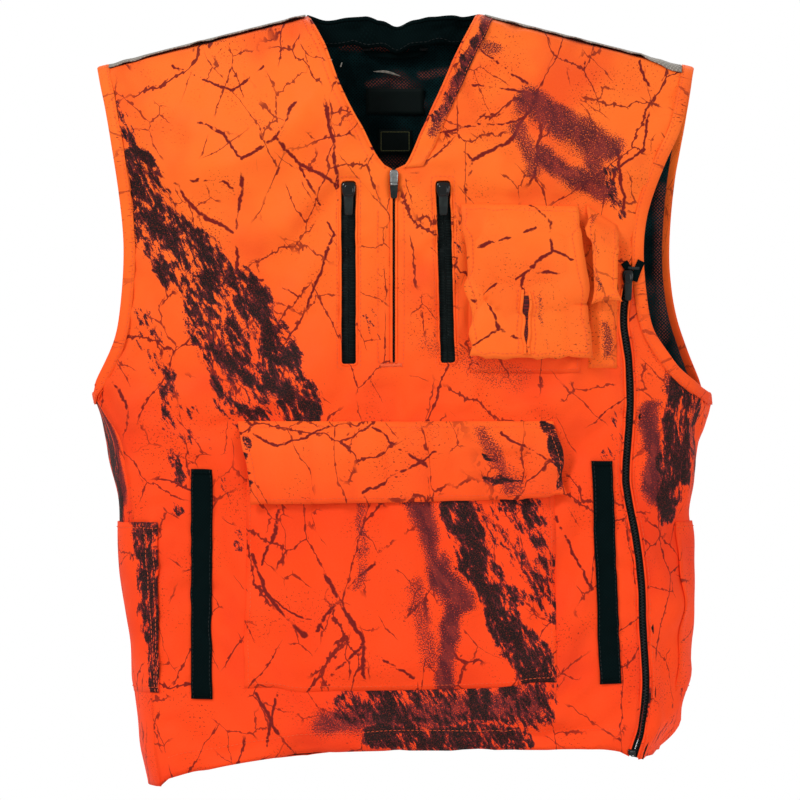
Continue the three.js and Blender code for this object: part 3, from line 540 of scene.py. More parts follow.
CLOTHS = {
    "front": camo("camo_front", tone=0.25, bark=FRONT_BARK, shade=FRONT_SHADE, branches=FRONT_BRANCHES, grain=-62),
    "back": camo("camo_back", shift=(2.3, 0.7), grain=62, bark=mirrored(FRONT_BARK[:9]), shade=mirrored(FRONT_SHADE[:6]),
                 branches=[(w, *[(-x, z) for x, z in points]) for w, *points in FRONT_BRANCHES[:20]]),
    "side": camo("camo_side", shift=(1.1, 3.3), tone=0.35, grain=-80,
                 bark=[((26, -262), (48, -330), 15, 1), ((42, -325), (54, -400), 25, 1), ((66, -330), (74, -390), 18, 0.9),
                       ((32, -395), (38, -440), 17, 1), ((56, -620), (40, -680), 12, 0.6)],
                 shade=[((14, -220), (32, -325), 15, 0.9), ((12, -345), (20, -425), 13, 1), ((70, -300), (80, -420), 16, 0.7)]),
    "bag": camo("camo_bag", shift=(4.1, 0.4), tone=0.25, grain=-85,
                bark=[((-212, -440), (-214, -620), 15, 1), ((140, -440), (230, -540), 30, 0.9), ((230, -540), (290, -620), 24, 0.8),
                      ((420, -450), (400, -600), 26, 0.8)],
                branches=[(3.0, (50, -460), (80, -520), (60, -600)), (2.4, (320, -455), (350, -520), (340, -590)), (2.6, (-120, -470), (-80, -560))]),
    "kangaroo": camo("camo_kangaroo", shift=(5.7, 1.9), tone=0.05, grain=-65,
                     bark=[((54, -423), (100, -541), 18, 1), ((114, -418), (142, -522), 20, 0.85), ((104, -541), (142, -599), 22, 1),
                           ((84, -430), (112, -520), 14, 0.75)],
                     shade=[((12, -400), (43, -494), 17, 1), ((48, -484), (57, -522), 17, 1), ((54, -518), (43, -603), 13, 1),
                            ((19, -503), (33, -580), 15, 0.75), ((-30, -430), (-33, -500), 8, 0.75)],
                     branches=[(4.6, (-135, -479), (-120, -513), (-105, -531), (-85, -551)), (2.6, (-108, -432), (-123, -487)),
                               (3.6, (-65, -493), (-48, -520), (-32, -548), (-27, -589)), (1.8, (-141, -502), (-65, -545)),
                               (2.6, (-18, -482), (-32, -493), (-67, -534), (-73, -548)), (2.4, (-33, -554), (16, -592)),
                               (2.6, (-59, -592), (-33, -557))]),
    # painted highlight: the flap's painted top light reaches further down, so the flap reads lighter than the panel
    "kangaroo_flap": camo("camo_kangaroo_flap", shift=(3.9, 2.8), grain=-20, painted_highlight=0.12,
                          bark=[((147, -356), (162, -408), 8, 1), ((-141, -365), (-137, -420), 4, 0.8),
                                # the two thin strokes on this line lie along the flap's creases: print, and also
                                # painted shade in those creases
                                ((78, -382), (106, -382), 4, 0.85), ((80, -404), (126, -402), 5, 0.9)],
                          shade=[((81, -366), (112, -412), 14, 0.8)],
                          branches=[(1.8, (-29, -418), (40, -380)), (2.2, (-21, -359), (29, -394)), (1.8, (-138, -361), (-109, -375), (-62, -356)),
                                    (1.8, (100, -361), (157, -399))]),
    # painted highlight: the chest flap's painted top light reaches further down
    "chest": camo("camo_chest", shift=(6.4, 5.2), twigs=0.0, painted_highlight=0.14,
                  shade=[((138, -236), (140, -285), 5, 0.7)],
                  branches=[(2.0, (66, -195), (103, -180), (129, -167)), (2.8, (124, -141), (146, -165), (149, -190), (123, -213), (124, -234)),
                            (2.0, (149, -190), (169, -200)), (2.0, (72, -236), (123, -213)), (2.2, (127, -209), (160, -213)),
                            (2.4, (87, -239), (97, -264), (72, -279)), (2.0, (97, -264), (116, -275))]),
    # painted highlight: the radio pocket and flap get painted top light further down
    "radio": camo("camo_radio", shift=(8.2, 1.5), twigs=0.6, painted_highlight=0.10, shade=[((188, -160), (192, -225), 5, 0.8), ((196, -260), (200, -290), 9, 0.8)]),
    "band": camo("camo_band", shift=(7.3, 6.1), tone=0.2, grain=-60,
                 shade=[((92, 30), (62, -30), 12, 1), ((58, -34), (36, -80), 9, 0.9)],
                 bark=[((84, 22), (64, -20), 8, 0.9), ((62, -24), (40, -66), 7, 0.85)]),
    "binding": camo("camo_binding", shift=(9.4, 2.2), tone=0.15, twigs=0.6),
}
MESH = mesh_cloth("black_mesh")
GREY = woven("grey_cloth", srgb(128, 122, 113), srgb(168, 161, 150), pitch=700)
BLACK = woven("black_cloth", srgb(0, 11, 12), srgb(3, 19, 20), 0.9, sheen=0.0, shine=0.06)
TAPE = woven("zip_tape", srgb(4, 12, 12), srgb(18, 28, 27), 0.7, pitch=1100, sheen=0.0, shine=0.1)
LABEL = woven("label_cloth", srgb(6, 18, 18), srgb(20, 32, 28), 0.6, pitch=1300, sheen=0.0, shine=0.12)
EDGING = woven("label_edge", srgb(78, 82, 48), srgb(112, 112, 66), 0.6)
COIL = moulded("zip_coil", srgb(14, 18, 19), srgb(60, 66, 66), 0.32)
PLASTIC = moulded("black_plastic", srgb(3, 5, 5), srgb(12, 15, 15), 0.16, coat=0.2, shine=0.25)
SILVER = moulded("silver_metal", srgb(150, 153, 152), srgb(104, 106, 106), 0.28, metal=1.0)
RUBBER = moulded("rubber", srgb(12, 20, 19), srgb(30, 40, 37), 0.45, shine=0.3)
# painted shade: dark maroon cloth for the shade inside the pen slot
SLOT_SHADE = woven("slot_painted_shade", srgb(60, 10, 12), srgb(120, 24, 18), 0.8)
THREAD = woven("orange_thread", srgb(232, 74, 30), srgb(250, 120, 62), 0.6, pitch=3000)
DARK_THREAD = woven("dark_thread", srgb(10, 14, 14), srgb(40, 46, 46), 0.6, pitch=3000)
PALE_THREAD = woven("pale_thread", srgb(210, 204, 190), srgb(240, 236, 224), 0.6, pitch=3000)
HOOKS = hooked("hook_tape", srgb(9, 10, 10), 700)
LOOPS = hooked("loop_tape", srgb(13, 14, 14), 420)


# ---- making pieces ----
def make(name, points, faces, material, uv=None, body="root", smooth=True):
    """A piece from points in millimetres; uv is cloth coordinates in millimetres, one for each point."""
    mesh = bpy.data.meshes.new(name)
    mesh.from_pydata((np.asarray(points, float) * MM).tolist(), [], [tuple(map(int, f)) for f in faces])
    mesh.validate()
    mesh.polygons.foreach_set("use_smooth", [smooth] * len(mesh.polygons))
    if uv is not None:
        layer = mesh.uv_layers.new(name="cloth")
        corners = np.zeros(len(mesh.loops), int)
        mesh.loops.foreach_get("vertex_index", corners)
        layer.data.foreach_set("uv", (np.asarray(uv, float)[corners] * MM).reshape(-1))
    mesh.materials.append(material)
    obj = bpy.data.objects.new(name, mesh)
    bpy.context.scene.collection.objects.link(obj)
    if body:
        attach(obj, body)
    return obj


def rim_of(faces):
    """Edges used by one face only, in the direction that the face runs."""
    seen = {}
    for face in faces:
        for a, b in zip(face, (*face[1:], face[0])):
            seen[(a, b)] = True
    return [(a, b) for a, b in seen if (b, a) not in seen]


def closed_sheet(outer, middle, inner, faces):
    """One closed mesh from the outer and inner faces of a cloth, with a rounded rim through middle."""
    n = len(outer)
    rim = rim_of(faces)
    ends = sorted({a for a, _ in rim})
    slot_of = {a: 2 * n + i for i, a in enumerate(ends)}
    every = [tuple(f) for f in faces] + [tuple(n + k for k in reversed(f)) for f in faces]
    for a, b in rim:
        every.append((b, a, slot_of[a], slot_of[b]))
        every.append((slot_of[b], slot_of[a], n + a, n + b))
    return np.vstack([outer, inner, middle[ends]]), every, ends


def cloth_piece(name, flat, faces, place, material, thick=CLOTH, lift=0.0, uv=None, body="root"):
    """A cloth whose outer face is place(flat, lift). flat is (x, z) or the like, one row for each point."""
    lift = np.broadcast_to(np.asarray(lift, float), (len(flat),))
    outer, inner = place(flat, lift), place(flat, lift - thick)
    points, every, ends = closed_sheet(outer, (outer + inner) / 2, inner, faces)
    uv = flat if uv is None else uv
    return make(name, points, every, material, np.vstack([uv, uv, uv[ends]]), body)


def coons(top, right, bottom, left):
    """A grid of points between four border lines, top and bottom towards +X, left and right downwards."""
    u = np.linspace(0, 1, len(top))[None, :, None]
    v = np.linspace(0, 1, len(left))[:, None, None]
    t, b, lf, r = top[None], bottom[None], left[:, None], right[:, None]
    grid = (1 - v) * t + v * b + (1 - u) * lf + u * r
    return grid - ((1 - u) * (1 - v) * top[0] + u * (1 - v) * top[-1] + (1 - u) * v * bottom[0] + u * v * bottom[-1])


def patch(corners, cell, bow=0.0):
    """A grid over four corners (x, z): top left, bottom left, bottom right, top right."""
    a, b, c, d = (np.array(p, float) for p in corners)
    columns = max(3, int(round(np.linalg.norm(d - a) / cell)) + 1)
    rows = max(3, int(round(np.linalg.norm(b - a) / cell)) + 1)
    s = np.linspace(0, 1, columns)[:, None]
    t = np.linspace(0, 1, rows)[:, None]
    sag = np.array([0, -bow]) * 4 * s * (1 - s)
    grid = coons(a + (d - a) * s, d + (c - d) * t, b + (c - b) * s + sag, a + (b - a) * t)
    return grid.reshape(-1, 2), grid_faces(rows, columns, flip=True), (rows, columns)


def inside(outline, x, z):
    """Whether each (x, z) lies inside a closed outline."""
    found = np.zeros(np.shape(x), bool)
    for (ax, az), (bx, bz) in zip(outline, [*outline[1:], outline[0]]):
        if az != bz:
            crosses = (az > z) != (bz > z)
            found ^= crosses & (x < (bx - ax) * (z - az) / (bz - az) + ax)
    return found


def window(top, bottom, width, corner=3, steps=4):
    """A closed outline round a strip with rounded corners, from top to bottom."""
    a, b = np.array(top, float), np.array(bottom, float)
    along = (b - a) / np.linalg.norm(b - a)
    side = np.array([along[1], -along[0]])
    arcs = []
    for end, inward, across in ((a, along, side), (b, -along, -side)):
        for sign, start in ((1, 0), (-1, math.pi / 2)):
            turn = start + np.linspace(0, math.pi / 2, steps + 1)[:, None]
            middle = end + inward * corner + across * sign * (width / 2 - corner)
            arcs.append(middle + (across * np.cos(turn) - inward * np.sin(turn)) * corner)
    return np.vstack(arcs)


def cut_out(flat, faces, outline):
    """Cuts a convex outline out of a flat mesh of (x, z) points."""
    import bmesh
    bm = bmesh.new()
    verts = [bm.verts.new((p[0], p[1], 0)) for p in flat]
    for face in faces:
        bm.faces.new([verts[k] for k in face])
    low, high = outline.min(axis=0) - 8, outline.max(axis=0) + 8
    middle = outline.mean(axis=0)
    for a, b in zip(outline, np.roll(outline, -1, axis=0)):
        along = b - a
        if np.linalg.norm(along) < 1e-6:
            continue
        normal = np.array([along[1], -along[0]])
        if normal @ (middle - a) > 0:
            normal = -normal
        half = np.linalg.norm(along) / 2 + 4
        near = []
        for face in bm.faces:
            c = face.calc_center_median()
            if low[0] < c.x < high[0] and low[1] < c.y < high[1]:
                if np.hypot(*(np.array([c.x, c.y]) - (a + b) / 2)) < half + 6:
                    near.append(face)
        parts = list({e for f in near for e in f.edges} | {v for f in near for v in f.verts}) + near
        bmesh.ops.bisect_plane(bm, geom=parts, plane_co=(a[0], a[1], 0), plane_no=(normal[0], normal[1], 0),
                               dist=0.02)
    gone = []
    for face in bm.faces:
        c = face.calc_center_median()
        if inside([tuple(p) for p in outline], np.array(c.x), np.array(c.y)):
            gone.append(face)
    bmesh.ops.delete(bm, geom=gone, context="FACES")
    loose = [v for v in bm.verts if not v.link_faces]
    bmesh.ops.delete(bm, geom=loose, context="VERTS")
    bm.verts.index_update()
    points = np.array([(v.co.x, v.co.y) for v in bm.verts])
    kept = [tuple(v.index for v in f.verts) for f in bm.faces]
    bm.free()
    return points, kept


def joined(*parts):
    """Several (points, faces) as one, with points that coincide made one point."""
    points, faces, seen = [], [], {}
    for flat, part in parts:
        index = []
        for p in flat:
            key = tuple(np.round(p, 3))
            if key not in seen:
                seen[key] = len(points)
                points.append(p)
            index.append(seen[key])
        faces += [tuple(index[k] for k in f) for f in part]
    return np.array(points), faces


def frames_along(points, normals, closed=False):
    """Unit tangents and sideways vectors of a path on a surface."""
    if closed:
        ahead = np.roll(points, -1, axis=0) - np.roll(points, 1, axis=0)
    else:
        ahead = np.gradient(points, axis=0)
    tangent = ahead / np.linalg.norm(ahead, axis=1, keepdims=True)
    side = np.cross(normals, tangent)
    return tangent, side / np.linalg.norm(side, axis=1, keepdims=True)


def sweep(name, points, normals, profile, material, closed=False, body="root", scale=None, smooth=True, shift=0.0):
    """A closed profile of (sideways, outward) points drawn along a path on a surface. Its print is moved by shift."""
    points, normals = np.asarray(points, float), np.asarray(normals, float)
    _, side = frames_along(points, normals, closed)
    profile = np.array(profile, float)
    size = np.ones(len(points)) if scale is None else np.asarray(scale, float)
    spread = profile[None] * size[:, None, None]
    ring = points[:, None] + side[:, None] * spread[..., :1] + normals[:, None] * spread[..., 1:]
    rows, columns = len(points), len(profile)
    faces = []
    for r in range(rows if closed else rows - 1):
        for c in range(columns):
            a, b = r * columns + c, r * columns + (c + 1) % columns
            k = (r + 1) % rows * columns
            faces.append((a, b, k + (c + 1) % columns, k + c))
    if not closed:
        faces.append(tuple(range(columns))[::-1])
        faces.append(tuple((rows - 1) * columns + c for c in range(columns)))
    around = np.concatenate([[0], np.cumsum(np.linalg.norm(np.diff(profile, axis=0), axis=1))])
    uv = np.stack([ring[..., 0] + ring[..., 1] + around + shift, ring[..., 2]], -1).reshape(-1, 2)
    return make(name, ring.reshape(-1, 3), faces, material, uv, body, smooth)


def oval(width, height, lift=0.0, count=8):
    turn = np.arange(count) / count * 2 * math.pi
    return [(width / 2 * math.cos(t), lift + height / 2 * math.sin(t)) for t in turn]


def band(width, thick, lift=0.0, edge=0.5):
    """Cross-section of a flat strip with eased edges."""
    w, t = width / 2, thick / 2
    return [(-w + edge, lift - t), (w - edge, lift - t), (w, lift), (w - edge, lift + t), (-w + edge, lift + t), (-w, lift)]


def on(place, line, lift=0.0):
    """Points and outward normals along a line on a surface."""
    line = np.asarray(line, float)
    points = place(line, np.full(len(line), float(lift)))
    away = place(line, np.full(len(line), lift + 1.0))
    return points, away - points


def stitches(name, runs, material, body="root", length=3.0, pitch=4.2, width=0.75):
    """Topstitching along runs of (points, normals): a row of short threads, each dipping at its ends."""
    every, faces = [], []
    for points, normals in runs:
        total = np.linalg.norm(np.diff(points, axis=0), axis=1).sum()
        count = max(2, int(total / pitch))
        both = evenly(np.hstack([points, normals]), count * 2 + 1)
        at, up = both[1::2, :3], both[1::2, 3:]
        ahead = both[2::2, :3] - both[:-2:2, :3]
        ahead /= np.linalg.norm(ahead, axis=1, keepdims=True)
        side = np.cross(up, ahead)
        for place, n, t, s in zip(at, up, ahead, side):
            first = len(every)
            for along, size, height in ((-length / 2, 0.45, -0.25), (0, 1, 0.12), (length / 2, 0.45, -0.25)):
                for turn in range(4):
                    angle = math.pi / 4 + turn * math.pi / 2
                    every.append(place + t * along + s * math.cos(angle) * width / 2 * size
                                 + n * (height + math.sin(angle) * width / 2 * size))
            for ring in range(2):
                for turn in range(4):
                    a, b = first + ring * 4 + turn, first + ring * 4 + (turn + 1) % 4
                    faces.append((a, b, b + 4, a + 4))
            faces.append(tuple(first + k for k in (3, 2, 1, 0)))
            faces.append(tuple(first + 8 + k for k in (0, 1, 2, 3)))
    flat = np.array(every)[:, (0, 2)]
    return make(name, np.array(every), faces, material, flat, body)


def bartack(name, place, a, b, material, body="root", lift=0.3, width=2.6):
    """A short dense bar of zigzag thread."""
    line = evenly([a, b], 9)
    points, normals = on(place, line, lift)
    return sweep(name, points, normals, oval(width, 1.0), material, body=body)


def flat_area(flat, faces):
    return float(sum(abs(sum(flat[f[i]][0] * flat[f[(i + 1) % len(f)]][1] - flat[f[(i + 1) % len(f)]][0] * flat[f[i]][1]
                             for i in range(len(f)))) for f in faces) / 2) * MM * MM


def sheet(obj):
    """Hands the cloth back as it is."""
    return obj


# ---- the wrinkled surfaces ----
side_offset = {"front": lambda z: 3 + 13 * step(0, 50, ARMPIT - z), "back": lambda z: 3 + 15 * step(0, 50, ARMPIT - z)}


def side_edges(side, z):
    if side == "left":
        return x_at(SIDE_ZIP, z) + 5, x_at(SIDE_LEFT, z) - side_offset["back"](z), x_at(SIDE_LEFT, z)
    return (x_at(SIDE_RIGHT, z) + side_offset["front"](z), x_at(SIDE_RIGHT, z) + side_offset["back"](z),
            x_at(SIDE_RIGHT, z))


def side_surface(side):
    """Surface over (share of the way round, depth below z = 0). Above the armpit the left one lies on the front."""
    lower = side_base(side)

    def point(q, depth):
        z = -depth
        p = lower(q, np.minimum(z, ARMPIT))
        if side == "right":
            p[..., 2] = z
            return p
        p = lower(q, z)
        top = lower(q, np.full_like(z, ARMPIT))
        zip_x, first = x_at(SIDE_ZIP, z) + 5, x_at(SIDE_ZIP, ARMPIT) + 5
        above = z > ARMPIT
        x = np.where(above, zip_x + (299 - zip_x) * (top[..., 0] - first) / (299 - first), p[..., 0])
        hug = (1 - 0.75 * step(0.32, 0.5, q)) * (1 - step(0, 80, ARMPIT - z)) * (q < 0.5)
        hug = np.where(q >= 0.5, 0.25 * (1 - step(0.5, 0.75, q)) * (1 - step(0, 80, ARMPIT - z)), hug)
        y_front = front_base(x, seam_height(x) - z)[..., 1]
        return np.stack([x, hug * y_front + (1 - hug) * p[..., 1], z], -1)
    return point


falls = np.concatenate([120 * (1 - np.cos(np.linspace(0, math.pi / 2, 14)))[:-1], np.linspace(120, 760, 62)])
front = Skin(np.linspace(-300, 306, 61), falls, front_base, -1)
back = Skin(np.linspace(-300, 306, 61), falls, back_base, 1)
left_side = Skin(np.linspace(0, 1, 25), np.linspace(190, 740, 56), side_surface("left"), -1)
right_side = Skin(np.linspace(0, 1, 21), np.linspace(315, 720, 41), side_surface("right"), 1)
lining_front = Skin(front.a, front.b, front_base, -1)
lining_back = Skin(back.a, back.b, back_base, 1)


def place_on(skin):
    def place(flat, lift=0.0):
        x, z = flat[..., 0], flat[..., 1]
        return skin.at(x, np.maximum(seam_height(x) - z, 0), lift)
    return place


def place_round(skin):
    return lambda flat, lift=0.0: skin.at(flat[..., 0], -flat[..., 1], lift)


on_front, on_back = place_on(front), place_on(back)
on_left, on_right = place_round(left_side), place_round(right_side)
on_lining_front, on_lining_back = place_on(lining_front), place_on(lining_back)

CHEST_ZIPS = {"right": ((-44, -124), (-44, -298)), "left": ((45.5, -124), (50.5, -297))}
HAND_POCKETS = {"right": ((-184, -399), (-184, -616)), "left": ((197, -391), (205, -602))}
FRONT_OUTLINE = [*spline(ARM_FRONT_RIGHT, 30), *[(x_at(SIDE_RIGHT, z) + side_offset["front"](z), z) for z in range(-335, -700, -15)],
                 *spline(HEM, 30), *spline(SIDE_ZIP, 40)[::-1], *spline(ARM_FRONT_LEFT[:6], 24)[::-1],
                 *spline(V_LEFT, 16), *spline(V_RIGHT, 16)[::-1]]
FRONT_OUTLINE = [(float(p[0]), float(p[1])) for p in FRONT_OUTLINE]


def seam_line(side, face, low):
    """Where the front or back panel meets a side panel."""
    sign = 1 if side == "right" else -1
    edge = SIDE_RIGHT if side == "right" else SIDE_LEFT
    return [(x_at(edge, z) + sign * side_offset[face](z), z) for z in np.linspace(-327, low, 24)]


def held_front():
    x, fall = np.meshgrid(front.a, front.b)
    z = seam_height(x) - fall
    weight = np.where(inside(FRONT_OUTLINE, x, z), 0.0, 1.0)
    weight = np.maximum(weight, 1 - step(2, 16, fall))
    ties = [(ARM_FRONT_RIGHT, 1.0, 22), (SIDE_ZIP, 1.0, 18), (ARM_FRONT_LEFT[:7], 1.0, 22), (V_RIGHT, 0.8, 18),
            (V_LEFT, 0.8, 18), ([(-1, -112), (-1, -300)], 1.0, 16), (seam_line("right", "front", -700), 1.0, 28),
            ([(-149, -352), (150, -352)], 0.9, 14), ([(70, -146), (174, -148)], 0.9, 14),
            ([(182, -147), (211, -168)], 1.0, 16), ([(196, -190), (196, -300)], 1.0, 34),
            ([(95, -200), (150, -200)], 0.8, 60), ([(95, -270), (150, -270)], 0.8, 60)]
    ties += [(line, 0.9, 16) for line in (*CHEST_ZIPS.values(), *HAND_POCKETS.values())]
    for line, strength, reach in ties:
        weight = np.maximum(weight, strength * (1 - step(4, reach, gap_to(line, x, z))))
    return weight


def held_back():
    x, fall = np.meshgrid(back.a, back.b)
    z = seam_height(x) - fall
    weight = 1 - step(2, 16, fall)
    for line, strength, reach in ((ARM_BACK_RIGHT, 1, 24), (ARM_BACK_LEFT, 1, 24), (NECK_BACK, 0.8, 20),
                                  (seam_line("right", "back", -700), 1, 28), (seam_line("left", "back", -662), 1, 28),
                                  ([(-230, -449), (260, -449)], 0.6, 14)):
        weight = np.maximum(weight, strength * (1 - step(4, reach, gap_to(line, x, z))))
    return weight


def rumple(skin, amount, seed, size, width):
    """Pushes a surface in and out in lumps, but not along its first and last columns."""
    a, b = np.meshgrid(skin.a, skin.b)
    edge = np.minimum(step(0, 0.14, a), step(0, 0.14, 1 - a))
    lumps = waves(a * width, b, seed, size) + 0.5 * waves(a * width, b, seed + 1, size * 0.45)
    skin.place = skin.place + skin.normal * (amount * edge * lumps)[..., None]
    skin.turn()


def fold(skin, a, b, height, width):
    """Raises a soft ridge, or presses a hollow, along a line on a surface."""
    x, fall = np.meshgrid(skin.a, skin.b)
    z = seam_height(x) - fall
    share = np.clip(((x - a[0]) * (b[0] - a[0]) + (z - a[1]) * (b[1] - a[1])) / math.dist(a, b) ** 2, 0, 1)
    rise = height * np.exp(-(gap_to([a, b], x, z) / width) ** 2) * np.sin(math.pi * (0.15 + 0.7 * share))
    rise = rise * step(5, 22, gap_to(seam_line("right", "front", -700), x, z))
    skin.place = skin.place + skin.normal * rise[..., None]
    skin.turn()


drape("settling_front", front, held_front(), 0.030)
drape("settling_back", back, held_back(), 0.030)
FOLDS = [((-256, -350), (-224, -450), 5.0, 12), ((-236, -352), (-206, -432), -4.0, 11), ((-246, -420), (-212, -520), 4.0, 13),
         ((-215, -540), (-222, -640), 3.5, 14), ((-100, -325), (60, -332), -3.0, 12), ((70, -318), (186, -322), -4.0, 14),
         ((160, -330), (205, -372), 4.0, 13), ((168, -430), (178, -520), 3.5, 14), ((-165, -640), (-60, -650), 3.0, 13),
         ((120, -628), (205, -640), 3.5, 12), ((-210, -90), (-120, -60), 3.0, 20), ((90, -110), (200, -60), 3.5, 22)]
for line in FOLDS:
    fold(front, *line)
rumple(left_side, 4.2, 5, 60, 190)
rumple(right_side, 2.6, 9, 80, 130)
for skin in (front, back, left_side, right_side):
    skin.finer()


# ---- body panels ----
CELL = 5.5


def straight(a, b, count):
    return np.linspace(np.array(a, float), np.array(b, float), count)


def front_half(side):
    """(x, z) grid of one half of the front, from the neckline, zip and centre line out to the armhole."""
    rows_neck, rows_zip, rows_low, columns = 26, 34, 66, 46
    middle = [ZIP_X - 1.6, ZIP_BOTTOM] if side == "right" else [ZIP_X + 1.6, ZIP_BOTTOM]
    neck = spline(V_RIGHT if side == "right" else V_LEFT, rows_neck + 1)
    neck[-1] = (middle[0], ZIP_TOP)
    inner = np.vstack([neck[:-1], straight((middle[0], ZIP_TOP), middle, rows_zip + 1)[:-1],
                       straight((ZIP_X, ZIP_BOTTOM - 2), (ZIP_X, -664), rows_low + 1)])
    count = len(inner)
    if side == "right":
        low = [(x_at(SIDE_RIGHT, z) + side_offset["front"](z), z) for z in np.linspace(-329, -700, 40)]
        outer = evenly([*spline(ARM_FRONT_RIGHT, 40)[:-1], *low], count)
        bottom = evenly([outer[-1], *[p for p in spline(HEM, 60) if outer[-1][0] + 4 < p[0] < ZIP_X - 4], (ZIP_X, -664)],
                        columns)
        return coons(straight(outer[0], inner[0], columns), inner, bottom, outer)
    zip_line = [(p[0] - 4.2, p[1]) for p in spline(SIDE_ZIP, 60) if p[1] < -206]
    outer = evenly([*[p for p in spline(ARM_FRONT_LEFT, 60) if p[1] > -196], *zip_line], count)
    bottom = evenly([(ZIP_X, -664), *[p for p in spline(HEM, 60) if ZIP_X + 4 < p[0] < outer[-1][0] - 4], outer[-1]],
                    columns)
    return coons(straight(inner[0], outer[0], columns), outer, bottom, inner)


def front_panel():
    parts = []
    for side in ("right", "left"):
        grid = front_half(side)
        faces = grid_faces(*grid.shape[:2], flip=True)
        parts.append(cut_out(grid.reshape(-1, 2), faces, window(*CHEST_ZIPS[side], 15.5)))
    flat, faces = joined(*parts)
    obj = cloth_piece("front_panel_cloth", flat, faces, on_front, CLOTHS["front"])
    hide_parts("front_panel", "placket")
    return sheet(obj)


def back_panel():
    columns, rows = 92, 126
    left = evenly([*spline(ARM_BACK_RIGHT, 40)[:-1],
                   *[(x_at(SIDE_RIGHT, z) + side_offset["back"](z), z) for z in np.linspace(-329, -699, 40)]], rows)
    right = evenly([*spline(ARM_BACK_LEFT, 40)[:-1],
                    *[(x_at(SIDE_LEFT, z) - side_offset["back"](z), z) for z in np.linspace(-329, -664, 40)]], rows)
    top = evenly([left[0], *spline(NECK_BACK, 40), right[0]], columns)
    bottom = evenly([left[-1], *[p for p in spline(HEM_BACK, 50) if left[-1][0] + 4 < p[0] < right[-1][0] - 4], right[-1]],
                    columns)
    grid = coons(top, right, bottom, left)
    obj = cloth_piece("back_panel_cloth", grid.reshape(-1, 2), grid_faces(rows, columns), on_back, CLOTHS["back"])
    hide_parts("back_panel")
    return sheet(obj)


def side_uv(flat, width):
    return flat * np.array([width, 1.0])


def side_panel(side):
    skin_place = on_left if side == "left" else on_right
    low = -664 if side == "left" else -700.5
    q, share = np.meshgrid(np.linspace(0, 1, 31), np.linspace(0, 1, 66))
    z = ARMPIT - 1 + (low - 11 * (1 - q) * (side == "left") - ARMPIT + 1) * share
    grid = np.stack([q, z], -1)
    faces = grid_faces(66, 31, flip=True)
    parts = [(grid.reshape(-1, 2), faces)]
    if side == "left":
        depth = np.linspace(-204, ARMPIT - 1, 24)[:, None]
        share = side_share(spline(ARM_FRONT_LEFT, 80), depth)
        across = np.linspace(0, 1, 16)[None]
        fore = np.stack([across * share, depth + 0 * across], -1)
        parts.append((fore.reshape(-1, 2), grid_faces(24, 16, flip=True)))
    flat, faces = joined(*parts)
    if side == "right":
        faces = [f[::-1] for f in faces]
    obj = cloth_piece(f"side_panel_{side}_cloth", flat, faces, skin_place, CLOTHS["side"], uv=side_uv(flat, 190))
    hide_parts(f"side_panel_{side}")
    return sheet(obj)


def side_share(line, z):
    """How far round the left side an armhole line lies, at heights z above the armpit."""
    shares = np.linspace(0, 0.5, 60)
    first = x_at(SIDE_ZIP, ARMPIT) + 5
    top = side_base("left")(shares, np.full(60, float(ARMPIT)))[:, 0]
    reach = (top - first) / (299 - first)
    zip_x = x_at(SIDE_ZIP, z) + 5
    return np.interp((x_at(line, z) - zip_x) / (299 - zip_x), reach, shares)


front_cloth = front_panel()
back_cloth = back_panel()
side_panel("left")
side_panel("right")


# ---- linings ----
def lining(name, outline_grid, place, flip, node):
    flat = outline_grid.reshape(-1, 2)
    ripple = 1.4 * waves(flat[:, 0], flat[:, 1] * 1.6, 21, 60)
    creases = np.sin(flat[:, 1] / 4.6 + flat[:, 0] * 0.03 + 1.2 * np.sin(flat[:, 0] / 31))
    ripple = ripple + 1.5 * creases * step(-95, -60, flat[:, 1]) * (node == "back_lining")
    obj = cloth_piece(name, flat, grid_faces(*outline_grid.shape[:2], flip=flip), place, MESH, 0.8, -11 + ripple)
    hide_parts(node)
    return sheet(obj)


def inset(line, middle, by):
    """Points pulled towards a middle x."""
    return [(p[0] + (by if p[0] < middle else -by), p[1]) for p in line]


neck_run = [*spline(V_RIGHT, 20), *spline(V_LEFT, 20)[::-1]]
front_left = evenly([*inset(spline(ARM_FRONT_RIGHT, 40), 0, 4)[:-1], (-262, -400), (-245, -560), (-228, -660)], 60)
front_right = evenly([*inset(spline(ARM_FRONT_LEFT, 40), 0, 4), (262, -345), (230, -400), (226, -500), (226, -640)], 60)
front_top = evenly([front_left[0], *neck_run, front_right[0]], 60)
front_hem = evenly([front_left[-1], (-100, -640), (0, -636), (120, -634), front_right[-1]], 60)
lining("front_lining_mesh", coons(front_top, front_right, front_hem, front_left), on_lining_front, True,
       "front_lining")
back_left = evenly([*inset(spline(ARM_BACK_RIGHT, 60), 0, 4)[:-1], (-262, -400), (-240, -560), (-226, -670)], 150)
back_right = evenly([*inset(spline(ARM_BACK_LEFT, 60), 0, 4)[:-1], (280, -400), (266, -560), (238, -640)], 150)
back_top = evenly([back_left[0], *[(p[0], p[1] - 13) for p in spline(NECK_BACK, 40)], back_right[0]], 60)
back_hem = evenly([back_left[-1], (-100, -655), (0, -650), (120, -642), back_right[-1]], 60)
lining("back_lining_mesh", coons(back_top, back_right, back_hem, back_left), on_lining_back, False,
       "back_lining")


# ---- armhole bindings ----
def smoothed(values, times):
    v = np.array(values, float)
    for _ in range(times):
        v[1:-1] = (v[:-2] + 2 * v[1:-1] + v[2:]) / 4
    return v


